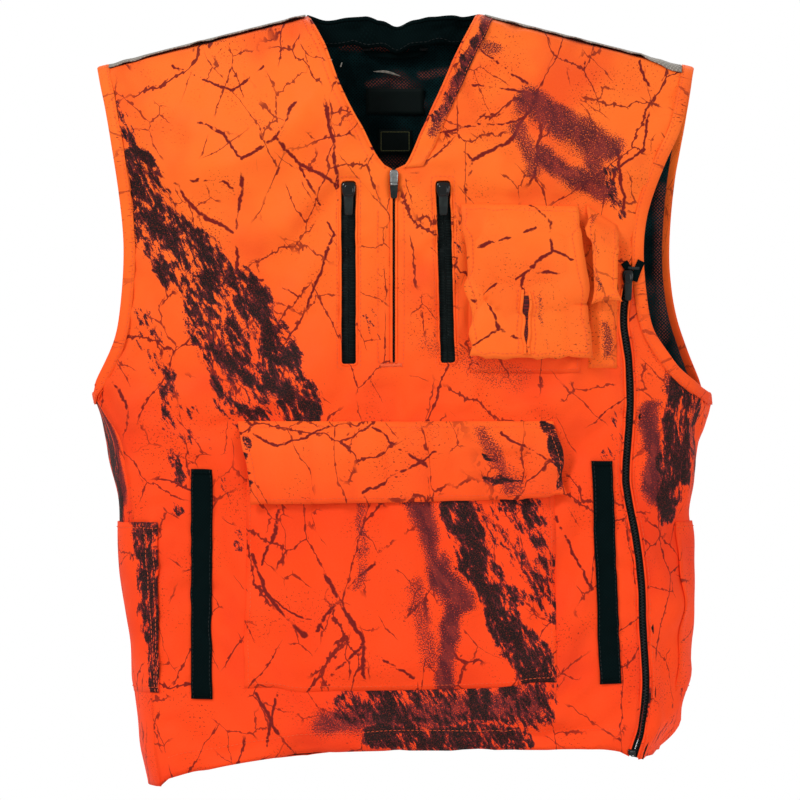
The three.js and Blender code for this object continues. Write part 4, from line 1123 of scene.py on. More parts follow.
def armhole_path(side):
    """Points and outward normals down the front of an armhole, under the arm and up its back."""
    fore = ARM_FRONT_LEFT if side == "left" else ARM_FRONT_RIGHT
    aft = ARM_BACK_LEFT if side == "left" else ARM_BACK_RIGHT
    down, up = evenly(spline(fore, 90), 84), evenly(spline(aft, 90), 84)[::-1]
    if side == "left":
        a = on(on_front, [p for p in down if p[1] > -262])
        low = np.array([p for p in down if p[1] <= -262])
        b = on(on_left, np.stack([side_share(fore, low[:, 1]), low[:, 1]], -1))
        under = on(on_left, np.stack([np.linspace(0.5, 0.97, 10), np.full(10, ARMPIT - 1.0)], -1))
    else:
        a = on(on_front, down[:-3])
        b = None
        under = on(on_right, np.stack([np.linspace(0.08, 0.92, 16), np.full(16, ARMPIT - 1.0)], -1))
    c = on(on_back, up[3:])
    pieces = [k for k in (a, b, under, c) if k is not None]
    points, normals = (np.vstack([k[i] for k in pieces]) for i in (0, 1))
    both = evenly(np.hstack([points, normals * 20]), 230)
    both = smoothed(both, 6)
    normals = both[:, 3:] / np.linalg.norm(both[:, 3:], axis=1, keepdims=True)
    return both[:, :3], normals


def armhole_binding(side):
    points, normals = armhole_path(side)
    # the strip folded over the edge: its outer face, the turned edge, its inner face
    inward = -1 if side == "left" else 1
    w = BINDING
    profile = [(inward * a, b) for a, b in ((w, 1.1), (w * 0.5, 1.4), (1, 1.3), (-0.9, 0.4), (-1.2, -0.6), (-0.9, -1.6),
                                            (1, -2.6), (w * 0.5, -2.7), (w, -2.4), (w, -1.5), (1.2, -1.6), (0.6, -0.6),
                                            (1.2, 0.2), (w, 0.1))][::inward]
    material = CLOTHS["binding"]
    obj = sweep(f"armhole_binding_{side}_cloth", points, normals, profile, material)
    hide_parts(f"armhole_binding_{side}")
    length = np.linalg.norm(np.diff(points, axis=0), axis=1).sum()
    sheet(obj)
    _, sideways = frames_along(points, normals)
    run = points + sideways * inward * (w - 2.2) + normals * 1.25
    stitches(f"armhole_stitching_{side}", [(run, normals)], THREAD)
    return obj


armhole_binding("left")
armhole_binding("right")


# ---- zips ----
def teeth(name, points, normals, pitch=1.45, reach=2.4, body="root", material=None):
    """A coil zip's two rows of loops, meshed along a path."""
    total = np.linalg.norm(np.diff(points, axis=0), axis=1).sum()
    count = int(total / pitch)
    both = evenly(np.hstack([points, normals]), count)
    at, up = both[:, :3], both[:, 3:]
    tangent, side = frames_along(at, up)
    every, faces = [], []
    for i in range(count):
        sign = 1 if i % 2 else -1
        first = len(every)
        for across, half, height in ((-0.25, 0.35, 0.9), (0.55, 0.55, 1.25), (1.0, 0.45, 0.7)):
            centre = at[i] + side[i] * sign * across * reach
            for dt, dn in ((-half, 0), (-half * 0.7, height), (half * 0.7, height), (half, 0)):
                every.append(centre + tangent[i] * dt + up[i] * dn)
        for ring in range(2):
            for k in range(4):
                a, b = first + ring * 4 + k, first + ring * 4 + (k + 1) % 4
                faces.append((a, b, b + 4, a + 4))
        faces.append(tuple(first + k for k in (3, 2, 1, 0)))
        faces.append(tuple(first + 8 + k for k in range(4)))
    return make(name, every, faces, material or COIL, np.array(every)[:, (0, 2)], body)


def strip_piece(name, place, line, width, thick, lift, material, node=None, body="root", edge=0.3, rests=None):
    points, normals = on(place, line, lift)
    obj = sweep(name, points, normals, band(width, thick, 0, edge), material, body=body)
    if node:
        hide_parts(*([node] if isinstance(node, str) else node))
    if rests:
        length = np.linalg.norm(np.diff(points, axis=0), axis=1).sum()
        sheet(obj)
    return obj


def chest_zip(side):
    top, bottom = (np.array(p, float) for p in CHEST_ZIPS[side])
    line = evenly([top + (0, 6), bottom - (0, 6)], 60)
    strip_piece(f"chest_zip_tape_{side}_cloth", on_front, line, 21, 0.7, -2.7, TAPE, f"chest_zip_tape_{side}",
                rests=["front_panel_cloth"])
    points, normals = on(on_front, evenly([top, bottom], 90), -3.7)
    coil = teeth(f"chest_zip_coil_{side}_teeth", points, normals)
    for name, x in (("right", -0.7), ("left", 0.7)):
        points, normals = on(on_front, line + (x, 0), -2.2)
        sweep(f"chest_zip_{side}_meeting_edge_{name}", points, normals, oval(1.1, 0.8), TAPE)
    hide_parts(f"chest_zip_coil_{side}")
    outline = window(top, bottom, 15.5)
    lip_line = evenly(np.vstack([outline, outline[:1]]), 130)[:-1]
    points, normals = on(on_front, lip_line, 0.25)
    sweep(f"chest_zip_lip_{side}", points, normals, oval(2.2, 1.7), CLOTHS["front"], closed=True, shift=LIP_SHIFT)
    border = window(top + (0, 3.5), bottom - (0, 3.5), 22.5)
    line = evenly(np.vstack([border, border[:1]]), 140)
    stitches(f"chest_zip_stitching_{side}", [on(on_front, line, 0.15)], THREAD)


def bag_sheet(side):
    """A chest zip's bag, hanging flat behind the panel."""
    top, bottom = CHEST_ZIPS[side]
    outer = -1 if side == "right" else 1
    a, d = (top[0] - 20 * outer, -118), (top[0] + 42 * outer, -118)
    b, c = (bottom[0] - 20 * outer, -300), (bottom[0] + 42 * outer, -300)
    corners = [d, c, b, a] if outer < 0 else [a, b, c, d]
    flat, faces, _ = patch(corners, 10)
    obj = cloth_piece(f"chest_zip_bag_{side}_cloth", flat, faces, on_front, MESH, 0.8, -5.2)
    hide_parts(f"chest_zip_bag_{side}")
    sheet(obj)


for which in ("right", "left"):
    chest_zip(which)
    bag_sheet(which)


def front_zip():
    line = evenly([(ZIP_X, ZIP_TOP + 1), (ZIP_X, ZIP_BOTTOM - 6)], 60)
    for side, sign in (("right", -1), ("left", 1)):
        half = line + (sign * 6.4, 0)
        strip_piece(f"front_zip_tape_{side}_cloth", on_front, half, 12.6, 0.7, -2.6, TAPE,
                    f"front_zip_tape_{side}", rests=["front_panel_cloth"])
    points, normals = on(on_front, line[:-2], -2.1)
    coil = teeth("front_zip_coil_teeth", points, normals, reach=1.7)
    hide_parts("front_zip_coil")
    points, normals = on(on_front, evenly([(ZIP_X - 3, ZIP_BOTTOM - 1), (ZIP_X + 3, ZIP_BOTTOM - 1)], 7), -0.2)
    stop = sweep("front_zip_stop", points, normals, oval(3.0, 1.6), PLASTIC)
    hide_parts("front_zip_bottom_stop")
    for sign in (-1, 1):
        lip = evenly([(ZIP_X + sign * 2.3, ZIP_TOP - 2), (ZIP_X + sign * 2.3, ZIP_BOTTOM)], 70)
        points, normals = on(on_front, lip, 0.3)
        sweep(f"front_zip_lip_{'right' if sign < 0 else 'left'}", points, normals, oval(2.4, 1.8), CLOTHS["front"],
              shift=LIP_SHIFT)
    x0, x1, z0, z1 = -16.2, 8.6, -157, -297
    frame_line = evenly([(x0, z0 + 30), (x0, z1), (x1, z1), (x1, z0 + 30)], 110)
    stitches("placket_stitching", [on(on_front, frame_line, 0.2),
                                   on(on_front, evenly([(x0, z1 - 3.5), (x1, z1 - 3.5)], 20), 0.2)], THREAD)
    bartack("placket_bartack", on_front, (x0 + 2, z1 - 1.8), (x1 - 2, z1 - 1.8), THREAD, width=3)


front_zip()


def side_zip():
    centre = evenly([p for p in spline(SIDE_ZIP, 80) if p[1] < -205], 130)
    points, normals = on(on_front, centre, 0.0)
    along = np.linspace(0, 1, len(points))
    ripple = 0.5 * np.sin(along * 46) * np.sin(along * 9) ** 2
    points = points + normals * ripple[:, None]
    tape = band(10.4, 0.7, -2.0, 0.3)
    for name, shift in (("front", 5.6), ("back", -5.6)):
        _, side = frames_along(points, normals)
        obj = sweep(f"side_zip_tape_{name}_cloth", points + side * shift, normals, tape, TAPE)
        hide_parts(f"side_zip_tape_{name}")
        length = np.linalg.norm(np.diff(points, axis=0), axis=1).sum()
        sheet(obj)
    coil = teeth("side_zip_coil_teeth", points - normals * 1.4, normals, reach=1.8)
    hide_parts("side_zip_coil")
    _, side = frames_along(points, normals)
    for name, shift, material in (("front", 4.6, "front"), ("back", -4.6, "side")):
        sweep(f"side_zip_lip_{name}", points + side * shift - normals * 0.1, normals, oval(1.9, 1.9), CLOTHS[material])
        stitches(f"side_zip_stitching_{name}", [(points + side * (shift * 1.7) + normals * 0.2, normals)], THREAD)
    low = on(on_front, evenly([(222, -668), (229, -668)], 5), 0.6)
    end = sweep("side_zip_end", *low, oval(6, 2.6), PLASTIC)
    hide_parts("side_zip_retainer_box")
    return points, normals


side_zip()


# ---- neck, shoulders and hem ----
def neck():
    outer = [(p[0] + 19, p[1] + 4) for p in spline(V_LEFT, 34)]
    inner = spline(V_LEFT, 34)
    outer[-1] = (inner[-1][0] + 19, inner[-1][1] + 2)
    outer[0] = (inner[0][0] + 17, inner[0][1] - 4.2)
    grid = np.stack([inner * (1 - s) + np.array(outer) * s for s in np.linspace(0, 1, 6)], 1)
    flat = grid.reshape(-1, 2)
    obj = cloth_piece("neck_band_cloth", flat, grid_faces(34, 6, flip=True), on_front, CLOTHS["band"], 1.0, 1.3)
    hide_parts("neck_band_left")
    sheet(obj)
    runs = [on(on_front, grid[:, 1] + (-2.2, 0), 1.35), on(on_front, grid[:, 4] + (1.6, 0), 1.35)]
    stitches("neck_band_stitching", runs, THREAD)
    edge = spline(V_RIGHT, 50)[1:]
    points, normals = on(on_front, edge, -0.6)
    sweep("neck_edge_right", points, normals, oval(2.6, 2.2), CLOTHS["front"])
    stitches("neck_stitching_right", [on(on_front, [(p[0] - 6.5, p[1] - 2.5) for p in edge], 0.15)], THREAD)
    points, normals = on(on_front, spline(V_LEFT, 50)[1:], 0.4)
    sweep("neck_edge_left", points, normals, oval(2.6, 3.2), CLOTHS["band"])
    # the tape along the back of the neck, its edge rolled over the panel
    line = spline(NECK_BACK, 60)
    points, normals = on(on_back, line, -1.0)
    sweep("back_neck_roll", points, normals, oval(3.4, 4.4), BLACK)
    share = np.linspace(0, 1, 8)
    grid = np.stack([np.stack([line[:, 0] * (1 - 0.03 * t), line[:, 1] - 15 * t], -1) for t in share])
    flat = grid.reshape(-1, 2)
    lift = np.repeat(-1.6 - 13.4 * share ** 0.6, len(line))
    tape = cloth_piece("back_neck_tape_cloth", flat, grid_faces(8, len(line)), on_back, BLACK, 1.0, lift)
    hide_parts("back_neck_tape")
    sheet(tape)
    low = grid[-1] + (0, 2.5)
    run = on(on_back, low, -15.6)
    stitches("back_neck_stitching", [(run[0], -run[1])], DARK_THREAD)
    for name, low, high in (("right", (-62.5, 1), (-61.5, 5)), ("left", (-53, -4), (-51.5, 1))):
        bartack(f"pale_bartack_{name}", on_lining_back, low, high, PALE_THREAD, lift=-16, width=1.2)
    # the soft loop that it hangs from
    low_box, high_box = box("hanger_loop")
    centre = (low_box + high_box) / 2
    half = (high_box[0] - low_box[0]) / 2 - 3
    turn = np.linspace(0, math.pi, 25)
    arc = np.stack([centre[0] + half * np.cos(turn), centre[1] - 1.5 - 2.5 * np.sin(turn),
                    high_box[2] - 4 - (high_box[2] - low_box[2] - 7) * np.sin(turn)], -1)
    normals = np.tile([0.0, -1.0, 0.0], (25, 1))
    loop = sweep("hanger_loop_tape", arc, normals, band(6, 1.2, 0, 0.5), BLACK)
    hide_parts("hanger_loop")
    ends = np.array([arc[0], arc[-1]])
    for name, end in (("left", ends[0]), ("right", ends[1])):
        run = np.array([end + (-4, -1.6, 1), end + (4, -1.6, 1)])
        sweep(f"hanger_bartack_{name}", evenly(run, 5), np.tile([0.0, -1.0, 0.0], (5, 1)), oval(2.4, 1.2), DARK_THREAD)
    # painted highlight: a pale tapered strip of grey cloth on the loop stands for a glint of light there
    points, normals = on(on_lining_back, spline([(-21, -9), (-8, -9.5), (5, -14)], 24), -16)
    thin = 0.25 + 0.75 * np.sin(np.linspace(0, math.pi, 24))
    sweep("hanger_painted_glint", points, -normals, oval(2.6, 0.8), GREY, scale=thin)


def label(name, node, border):
    low, high = box(node)
    x0, x1, z0, z1 = low[0], high[0], low[2], high[2]
    flat, faces, _ = patch([(x0, z1), (x0, z0), (x1, z0), (x1, z1)], 4)
    obj = cloth_piece(name, flat, [f[::-1] for f in faces], on_lining_back, LABEL, 0.7, -13.4)
    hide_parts(node)
    sheet(obj)
    if border:
        b = 2.4
        frame_line = evenly([(x0 + b, z1 - b), (x1 - b, z1 - b), (x1 - b, z0 + b), (x0 + b, z0 + b), (x0 + b, z1 - b)], 80)
        points, normals = on(on_lining_back, frame_line, -14.3)
        sweep(f"{name}_border", points, -normals, oval(1.0, 0.5), EDGING)


neck()
label("size_label_cloth", "size_label", False)
label("neck_label_cloth", "neck_label", True)


def shoulder_patch(side):
    sign = 1 if side == "left" else -1
    near, far = (NECK_X + 2) * sign, 275 * sign
    s = np.linspace(0, 1, 40)
    x = near + (far - near) * s
    # it laps over the seam onto the front as a sliver, wider towards the armhole
    lap = 2.0 + (7.5 if side == "left" else 3.0) * step(0.72, 1, s)
    rows = []
    for t in np.linspace(0, 1, 5):
        rows.append(on(on_front, np.stack([x, seam_height(x) - lap * (1 - t) - 0.05], -1), 1.2)[0])
    arm = ARM_BACK_LEFT if side == "left" else ARM_BACK_RIGHT
    for t in np.linspace(0.04, 1, 14):
        end = min(275, abs(x_at(arm, seam_height(far) - 62 * t)) - 9)
        run = near + (sign * end - near) * s
        clear = 1.2 + 1.1 * step(0, 0.2, t) * (1 - step(0.85, 1, t))
        rows.append(on(on_back, np.stack([run, seam_height(run) - 62 * t], -1), clear)[0])
    outer = np.array(rows)
    outer = np.apply_along_axis(lambda v: smoothed(v, 2), 0, outer)
    normal = np.cross(np.gradient(outer, axis=1), np.gradient(outer, axis=0)) * -sign
    normal /= np.linalg.norm(normal, axis=-1, keepdims=True)
    inner = outer - normal
    faces = grid_faces(19, 40, flip=side == "right")
    across = np.concatenate([[0], np.cumsum(np.linalg.norm(np.diff(outer[:, 20], axis=0), axis=1))])
    uv = np.stack(np.broadcast_arrays(np.abs(x)[None], across[:, None]), -1).reshape(-1, 2)
    flat = [a.reshape(-1, 3) for a in (outer, (outer + inner) / 2, inner)]
    points, every, ends = closed_sheet(*flat, faces)
    obj = make(f"shoulder_patch_{side}_cloth", points, every, GREY, np.vstack([uv, uv, uv[ends]]))
    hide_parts(f"shoulder_patch_{side}")
    sheet(obj)
    line = np.stack([run, seam_height(run) - 59], -1)
    stitches(f"shoulder_stitching_{side}", [on(on_back, line, 1.4)], DARK_THREAD)


shoulder_patch("left")
shoulder_patch("right")


def hem_facing():
    line = [p for p in spline(HEM, 60) if -222 < p[0] < 220]
    grid = np.stack([[(p[0], p[1] + up) for p in line] for up in (1.0, 8.0, 15.0, 22.0)])
    obj = cloth_piece("hem_facing_front_cloth", grid.reshape(-1, 2), grid_faces(4, len(line)), on_front,
                      CLOTHS["front"], 0.9, -1.9)
    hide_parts("hem_facing_front")
    sheet(obj)
    stitches("hem_stitching_front", [on(on_front, [(p[0], p[1] + 20) for p in line], 0.15)], THREAD)
    line = [p for p in spline(HEM_BACK, 60) if -222 < p[0] < 235]
    grid = np.stack([[(p[0], p[1] + up) for p in line] for up in (1.0, 8.0, 15.0, 22.0)])
    obj = cloth_piece("hem_facing_back_cloth", grid.reshape(-1, 2), grid_faces(4, len(line), flip=True), on_back,
                      BLACK, 0.9, -1.9)
    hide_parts("hem_facing_back")
    sheet(obj)
    stitches("hem_stitching_back", [on(on_back, [(p[0], p[1] + 20) for p in line], 0.15)], THREAD)


hem_facing()


# ---- pockets ----
def border_gap(flat, corners):
    """Distance of each point to the nearest of the left, bottom and right borders, and to the top border."""
    a, b, c, d = corners
    x, z = flat[:, 0], flat[:, 1]
    return gap_to([a, b, c, d], x, z), gap_to([a, d], x, z)


def pocket_body(name, node, corners, depth, cloth, seed, soft=1.4):
    flat, faces, _ = patch(corners, 4.5)
    sides, top = border_gap(flat, corners)
    height = 0.5 + depth * step(0, 26, sides) ** 0.8
    sag = soft * waves(flat[:, 0], flat[:, 1] * 0.7, seed, 70) * step(0, 22, sides)
    obj = cloth_piece(name, flat, faces, on_front, CLOTHS[cloth], 1.1, height + sag)
    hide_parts(node)
    sheet(obj)

    def surface(line, lift=0.0):
        s, _ = border_gap(line, corners)
        rise = 0.5 + depth * step(0, 26, s) ** 0.8
        rise = rise + soft * waves(line[:, 0], line[:, 1] * 0.7, seed, 70) * step(0, 22, s)
        return on_front(line, rise + lift)
    return obj, surface


def pulled_in(corners, by, top=0.0):
    (ax, az), (bx, bz), (cx, cz), (dx, dz) = corners
    return [(ax + by, az - top), (bx + by, bz + by), (cx - by, cz + by), (dx - by, dz - top)]


def flap(name, node, body, corners, cloth, high, seed, soft=1.0, start=1.2, reach=26, folds=()):
    """A flap sewn along its top edge and lying over its pocket; the lift grows from the hinge down."""
    flat, faces, _ = patch(corners, 4.5)
    a, b, c, d = corners

    def height(line):
        top = gap_to([a, d], line[:, 0], line[:, 1])
        side = gap_to([a, b], line[:, 0], line[:, 1])
        other = gap_to([c, d], line[:, 0], line[:, 1])
        low = gap_to([b, c], line[:, 0], line[:, 1])
        rise = start + (high - start) * step(0, reach, top)
        edge = np.minimum(np.minimum(side, other), low)
        for fold in folds:
            gap = gap_to(fold, line[:, 0], line[:, 1])
            above = z_at(fold, line[:, 0]) < line[:, 1]
            rise = rise + np.where(above, 2.4, -1.6) * np.exp(-(gap / np.where(above, 6.0, 3.0)) ** 2)
        return rise + (0.9 * step(0, 12, edge) + soft * waves(line[:, 0] * 0.8, line[:, 1], seed, 65)) * step(2, 30, top)

    def surface(line, lift=0.0):
        line = np.asarray(line, float)
        return on_front(line, height(line) + lift)
    outer = surface(flat, 0.0)
    inner = surface(flat, -1.7)
    points, every, ends = closed_sheet(outer, (outer + inner) / 2, inner, faces)
    obj = make(name, points, every, CLOTHS[cloth], np.vstack([flat, flat, flat[ends]]), body)
    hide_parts(node)
    sheet(obj)
    return obj, surface


def run_on(surface, line, lift=0.2):
    line = np.asarray(line, float)
    points = surface(line, lift)
    return points, surface(line, lift + 1.0) - points


def fastener(name, node, surface, line, width, lift, material, body="root"):
    points, normals = run_on(surface, evenly(line, 40), lift)
    obj = sweep(name, points, normals, band(width, 0.9, 0, 0.2), material, body=body)
    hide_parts(node)
    length = np.linalg.norm(np.diff(points, axis=0), axis=1).sum()
    sheet(obj)


def kangaroo():
    corners = [(-139, -376), (-143, -605), (152, -598), (151, -376)]
    _, surface = pocket_body("kangaroo_pocket_cloth", "kangaroo_pocket", corners, 5.5, "kangaroo", 31, 1.6)
    sides = pulled_in(corners, 4)
    runs = [run_on(surface, evenly([sides[0], sides[1], sides[2], sides[3]], 200), 0.2)]
    stitches("kangaroo_stitching", runs, THREAD)
    hem = evenly([(-136, -381), (148, -381)], 60)
    fastener("kangaroo_loop_tape", "kangaroo_loop_strip", surface, [(-100, -401), (112, -401)], 20, 0.5, LOOPS)
    flap_corners = [(-149, -352), (-136, -429), (164, -423), (150, -352)]
    _, above = flap("kangaroo_flap_cloth", "kangaroo_flap", "kangaroo_flap", flap_corners, "kangaroo_flap", 10.6, 41,
                    soft=0.9, folds=([(72, -380), (118, -379)], [(66, -401), (132, -400)]))
    edge = pulled_in(flap_corners, 4.5)
    runs = [run_on(above, evenly([(edge[0][0] + 1, edge[0][1] - 8), edge[1], edge[2], (edge[3][0] + 1, edge[3][1] - 8)], 200))]
    runs.append(run_on(above, evenly([(-146, -357.5), (148, -357.5)], 90), 0.2))
    stitches("kangaroo_flap_stitching", runs, THREAD, body="kangaroo_flap")
    fastener("kangaroo_hook_tape", "kangaroo_hook_strip", above, [(-100, -401), (112, -401)], 20, -2.4, HOOKS,
             body="kangaroo_flap")


def chest():
    corners = [(70, -173), (71, -306), (176, -306), (174, -173)]
    _, surface = pocket_body("chest_pocket_cloth", "chest_pocket", corners, 8.5, "front", 33, 1.0)
    stitches("chest_stitching", [run_on(surface, evenly(pulled_in(corners, 3.5), 160), 0.2)], THREAD)
    fastener("chest_loop_tape", "chest_loop_strip", surface, [(84, -272), (118, -272)], 18, 0.5, LOOPS)
    flap_corners = [(63, -146), (72, -292), (183, -292), (174, -148)]
    flat, faces, _ = patch(flap_corners, 4.5)
    _, above = flap("chest_flap_cloth", "chest_flap", "chest_flap", flap_corners, "chest", 12.4, 43, 0.9, reach=32)
    edge = pulled_in(flap_corners, 4.5)
    runs = [run_on(above, evenly([(edge[0][0], edge[0][1] - 8), edge[1], edge[2], (edge[3][0], edge[3][1] - 8)], 160)),
            run_on(above, evenly([(66, -151.5), (172, -153.5)], 40))]
    # the pen slot: a narrow dark strip between two turned edges, painted shade standing in for the opening, widest at
    # the top
    slot_line = evenly([(124, -236), (124, -288)], 24)
    points, normals = run_on(above, slot_line, 0.2)
    sweep("pen_slot", points, normals, band(6.4, 0.5, 0, 0.15), SLOT_SHADE, body="chest_flap", scale=np.linspace(1, 0.3, 24))
    for side, x, way in (("right", 120.0, 1), ("left", 128.2, -1)):
        points, normals = run_on(above, evenly([(x, -233), (x + way * 2.4, -290)], 24), 0.3)
        sweep(f"pen_slot_edge_{side}", points, normals, oval(3.0, 2.4), CLOTHS["chest"], body="chest_flap")
        runs.append(run_on(above, evenly([(x + (-4 if side == "right" else 4), -232), (x + (-4 if side == "right" else 4), -288)], 24)))
    stitches("chest_flap_stitching", runs, THREAD, body="chest_flap")
    fastener("chest_hook_tape", "chest_hook_strip", above, [(84, -272), (114, -272)], 18, -2.4, HOOKS, body="chest_flap")


def radio():
    corners = [(182, -186), (184, -302), (211, -302), (211, -186)]
    _, surface = pocket_body("radio_pocket_cloth", "radio_pocket", corners, 9.5, "radio", 35, 0.8)
    stitches("radio_stitching", [run_on(surface, evenly(pulled_in(corners, 2.8), 120), 0.2)], THREAD)
    fastener("radio_loop_tape", "radio_loop_strip", surface, [(190, -222), (205, -222)], 14, 0.5, LOOPS)
    flap_corners = [(182, -147), (185, -239), (212, -239), (211, -166)]
    _, above = flap("radio_flap_cloth", "radio_flap", "radio_flap", flap_corners, "radio", 14.2, 45, 0.6)
    edge = pulled_in(flap_corners, 3.5)
    runs = [run_on(above, evenly([(edge[0][0], edge[0][1] - 6), edge[1], edge[2], (edge[3][0], edge[3][1] - 4)], 90))]
    stitches("radio_flap_stitching", runs, THREAD, body="radio_flap")
    fastener("radio_hook_tape", "radio_hook_strip", above, [(191, -222), (205, -222)], 14, -2.4, HOOKS, body="radio_flap")


kangaroo()
chest()
radio()


def hand_pocket(side):
    top, bottom = (np.array(p, float) for p in HAND_POCKETS[side])
    line = evenly([top, bottom], 60)
    across = np.linspace(-10, 10, 9)
    grid = line[:, None] + np.stack([across, 0 * across], -1)
    welt = cloth_piece(f"hand_pocket_welt_{side}_cloth", grid.reshape(-1, 2), grid_faces(60, 9, flip=True), on_front,
                       BLACK, 1.4, 1.7)
    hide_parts(f"hand_pocket_welt_{side}")
    sheet(welt)
    runs = [on(on_front, line + (shift, 0), 2.45) for shift in (-8.4, 8.4)]
    stitches(f"hand_pocket_stitching_{side}", runs, DARK_THREAD)
    for name, end in (("top", line[1]), ("bottom", line[-2])):
        bartack(f"hand_pocket_bartack_{side}_{name}", on_front, end + (-9, 0), end + (9, 0), BLACK, lift=2.5, width=1.6)
    outer = -1 if side == "right" else 1
    a = (top[0] - outer * 8, top[1] + 2)
    b = (bottom[0] - outer * 8, bottom[1] - 3)
    c, d = (b[0] - outer * 112, b[1]), (a[0] - outer * 112, a[1])
    corners = [d, c, b, a] if outer > 0 else [a, b, c, d]
    flat, faces, _ = patch(corners, 12)
    obj = cloth_piece(f"hand_pocket_bag_{side}_cloth", flat, faces, on_front, BLACK, 0.8, -5.5)
    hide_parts(f"hand_pocket_bag_{side}")
    sheet(obj)


for which in ("right", "left"):
    hand_pocket(which)


# ---- game bag, round the back and both sides ----
def game_bag():
    """From a strip on the right front, round the right side, across the back and onto the left side."""
    heights = (-449, -611)
    rows = 34
    z = np.linspace(*heights, rows)
    parts = []
    strip_x = lambda z: np.linspace(-224, x_at(SIDE_RIGHT, z) + side_offset["front"](z), 7)
    parts.append(np.array([on_front(np.stack([strip_x(h), np.full(7, h)], -1), 2.6) for h in z]))
    q = np.linspace(0, 1, 16)
    parts.append(np.array([on_right(np.stack([q, np.full(16, h)], -1), 2.2 + 0.5 * np.sin(q * math.pi / 2) ** 2) for h in z]))
    across = []
    for h in z:
        x = np.linspace(x_at(SIDE_RIGHT, h) + side_offset["back"](h), x_at(SIDE_LEFT, h) - side_offset["back"](h), 64)
        share = np.linspace(0, 1, 64)
        lift = 3.8 + 15 * np.sin(share * math.pi) + 1.6 * waves(x, np.full(64, h), 51, 80)
        across.append(on_back(np.stack([x, np.full(64, h)], -1), lift))
    parts.append(np.array(across))
    q = np.linspace(1, 0.28, 16)
    parts.append(np.array([on_left(np.stack([q, np.full(16, h)], -1), 2.0 + 2.4 * step(0.28, 0.6, q)
                                   + 0.8 * waves(q * 190, np.full(16, h), 53, 60))
                           for h in z]))
    outer = np.concatenate(parts, axis=1)
    for _ in range(3):
        outer[:, 1:-1] = (outer[:, :-2] + 2 * outer[:, 1:-1] + outer[:, 2:]) / 4
    rise = np.minimum(step(0, 14, z - heights[1]), 1)[:, None, None]
    normal = np.cross(np.gradient(outer, axis=1), np.gradient(outer, axis=0))
    normal /= np.linalg.norm(normal, axis=-1, keepdims=True)
    outer = outer - normal * (1 - rise) * 1.2
    inner = outer - normal * 1.2
    columns = outer.shape[1]
    along = np.concatenate([[0], np.cumsum(np.linalg.norm(np.diff(outer[10], axis=0), axis=1))]) - 224
    uv = np.stack(np.broadcast_arrays(along[None], z[:, None]), -1).reshape(-1, 2)
    faces = grid_faces(rows, columns)
    flat = [a.reshape(-1, 3) for a in (outer, (outer + inner) / 2, inner)]
    points, every, ends = closed_sheet(*flat, faces)
    obj = make("game_bag_cloth", points, every, CLOTHS["bag"], np.vstack([uv, uv, uv[ends]]))
    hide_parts("game_bag")
    sheet(obj)
    runs = []
    for row in (1, rows - 2):
        runs.append((outer[row] + normal[row] * 0.35, normal[row]))
    for column in (1, 3):
        runs.append((outer[:, column] + normal[:, column] * 0.35, normal[:, column]))
    stitches("game_bag_stitching", runs, THREAD)


game_bag()


# ---- sliders and pulls ----
def lump(name, rings, material, body, close=True, sides=14, sharp=None):
    """A closed form lofted through rings (centre, half width across, half depth, power) along a line."""
    every, faces = [], []
    for centre, across, deep, wide, thick, power in rings:
        for k in range(sides):
            t = 2 * math.pi * k / sides
            c, s = math.cos(t), math.sin(t)
            u = math.copysign(abs(c) ** power, c) * wide
            v = math.copysign(abs(s) ** power, s) * thick
            every.append(np.array(centre) + np.array(across) * u + np.array(deep) * v)
    for r in range(len(rings) - 1):
        for k in range(sides):
            a, b = r * sides + k, r * sides + (k + 1) % sides
            faces.append((a, b, b + sides, a + sides))
    faces.append(tuple(range(sides))[::-1])
    faces.append(tuple((len(rings) - 1) * sides + k for k in range(sides)))
    return make(name, every, faces, material, np.array(every)[:, (0, 2)], body)


def slider_frame(node):
    low, high = box(node)
    return (low + high) / 2, (high - low)


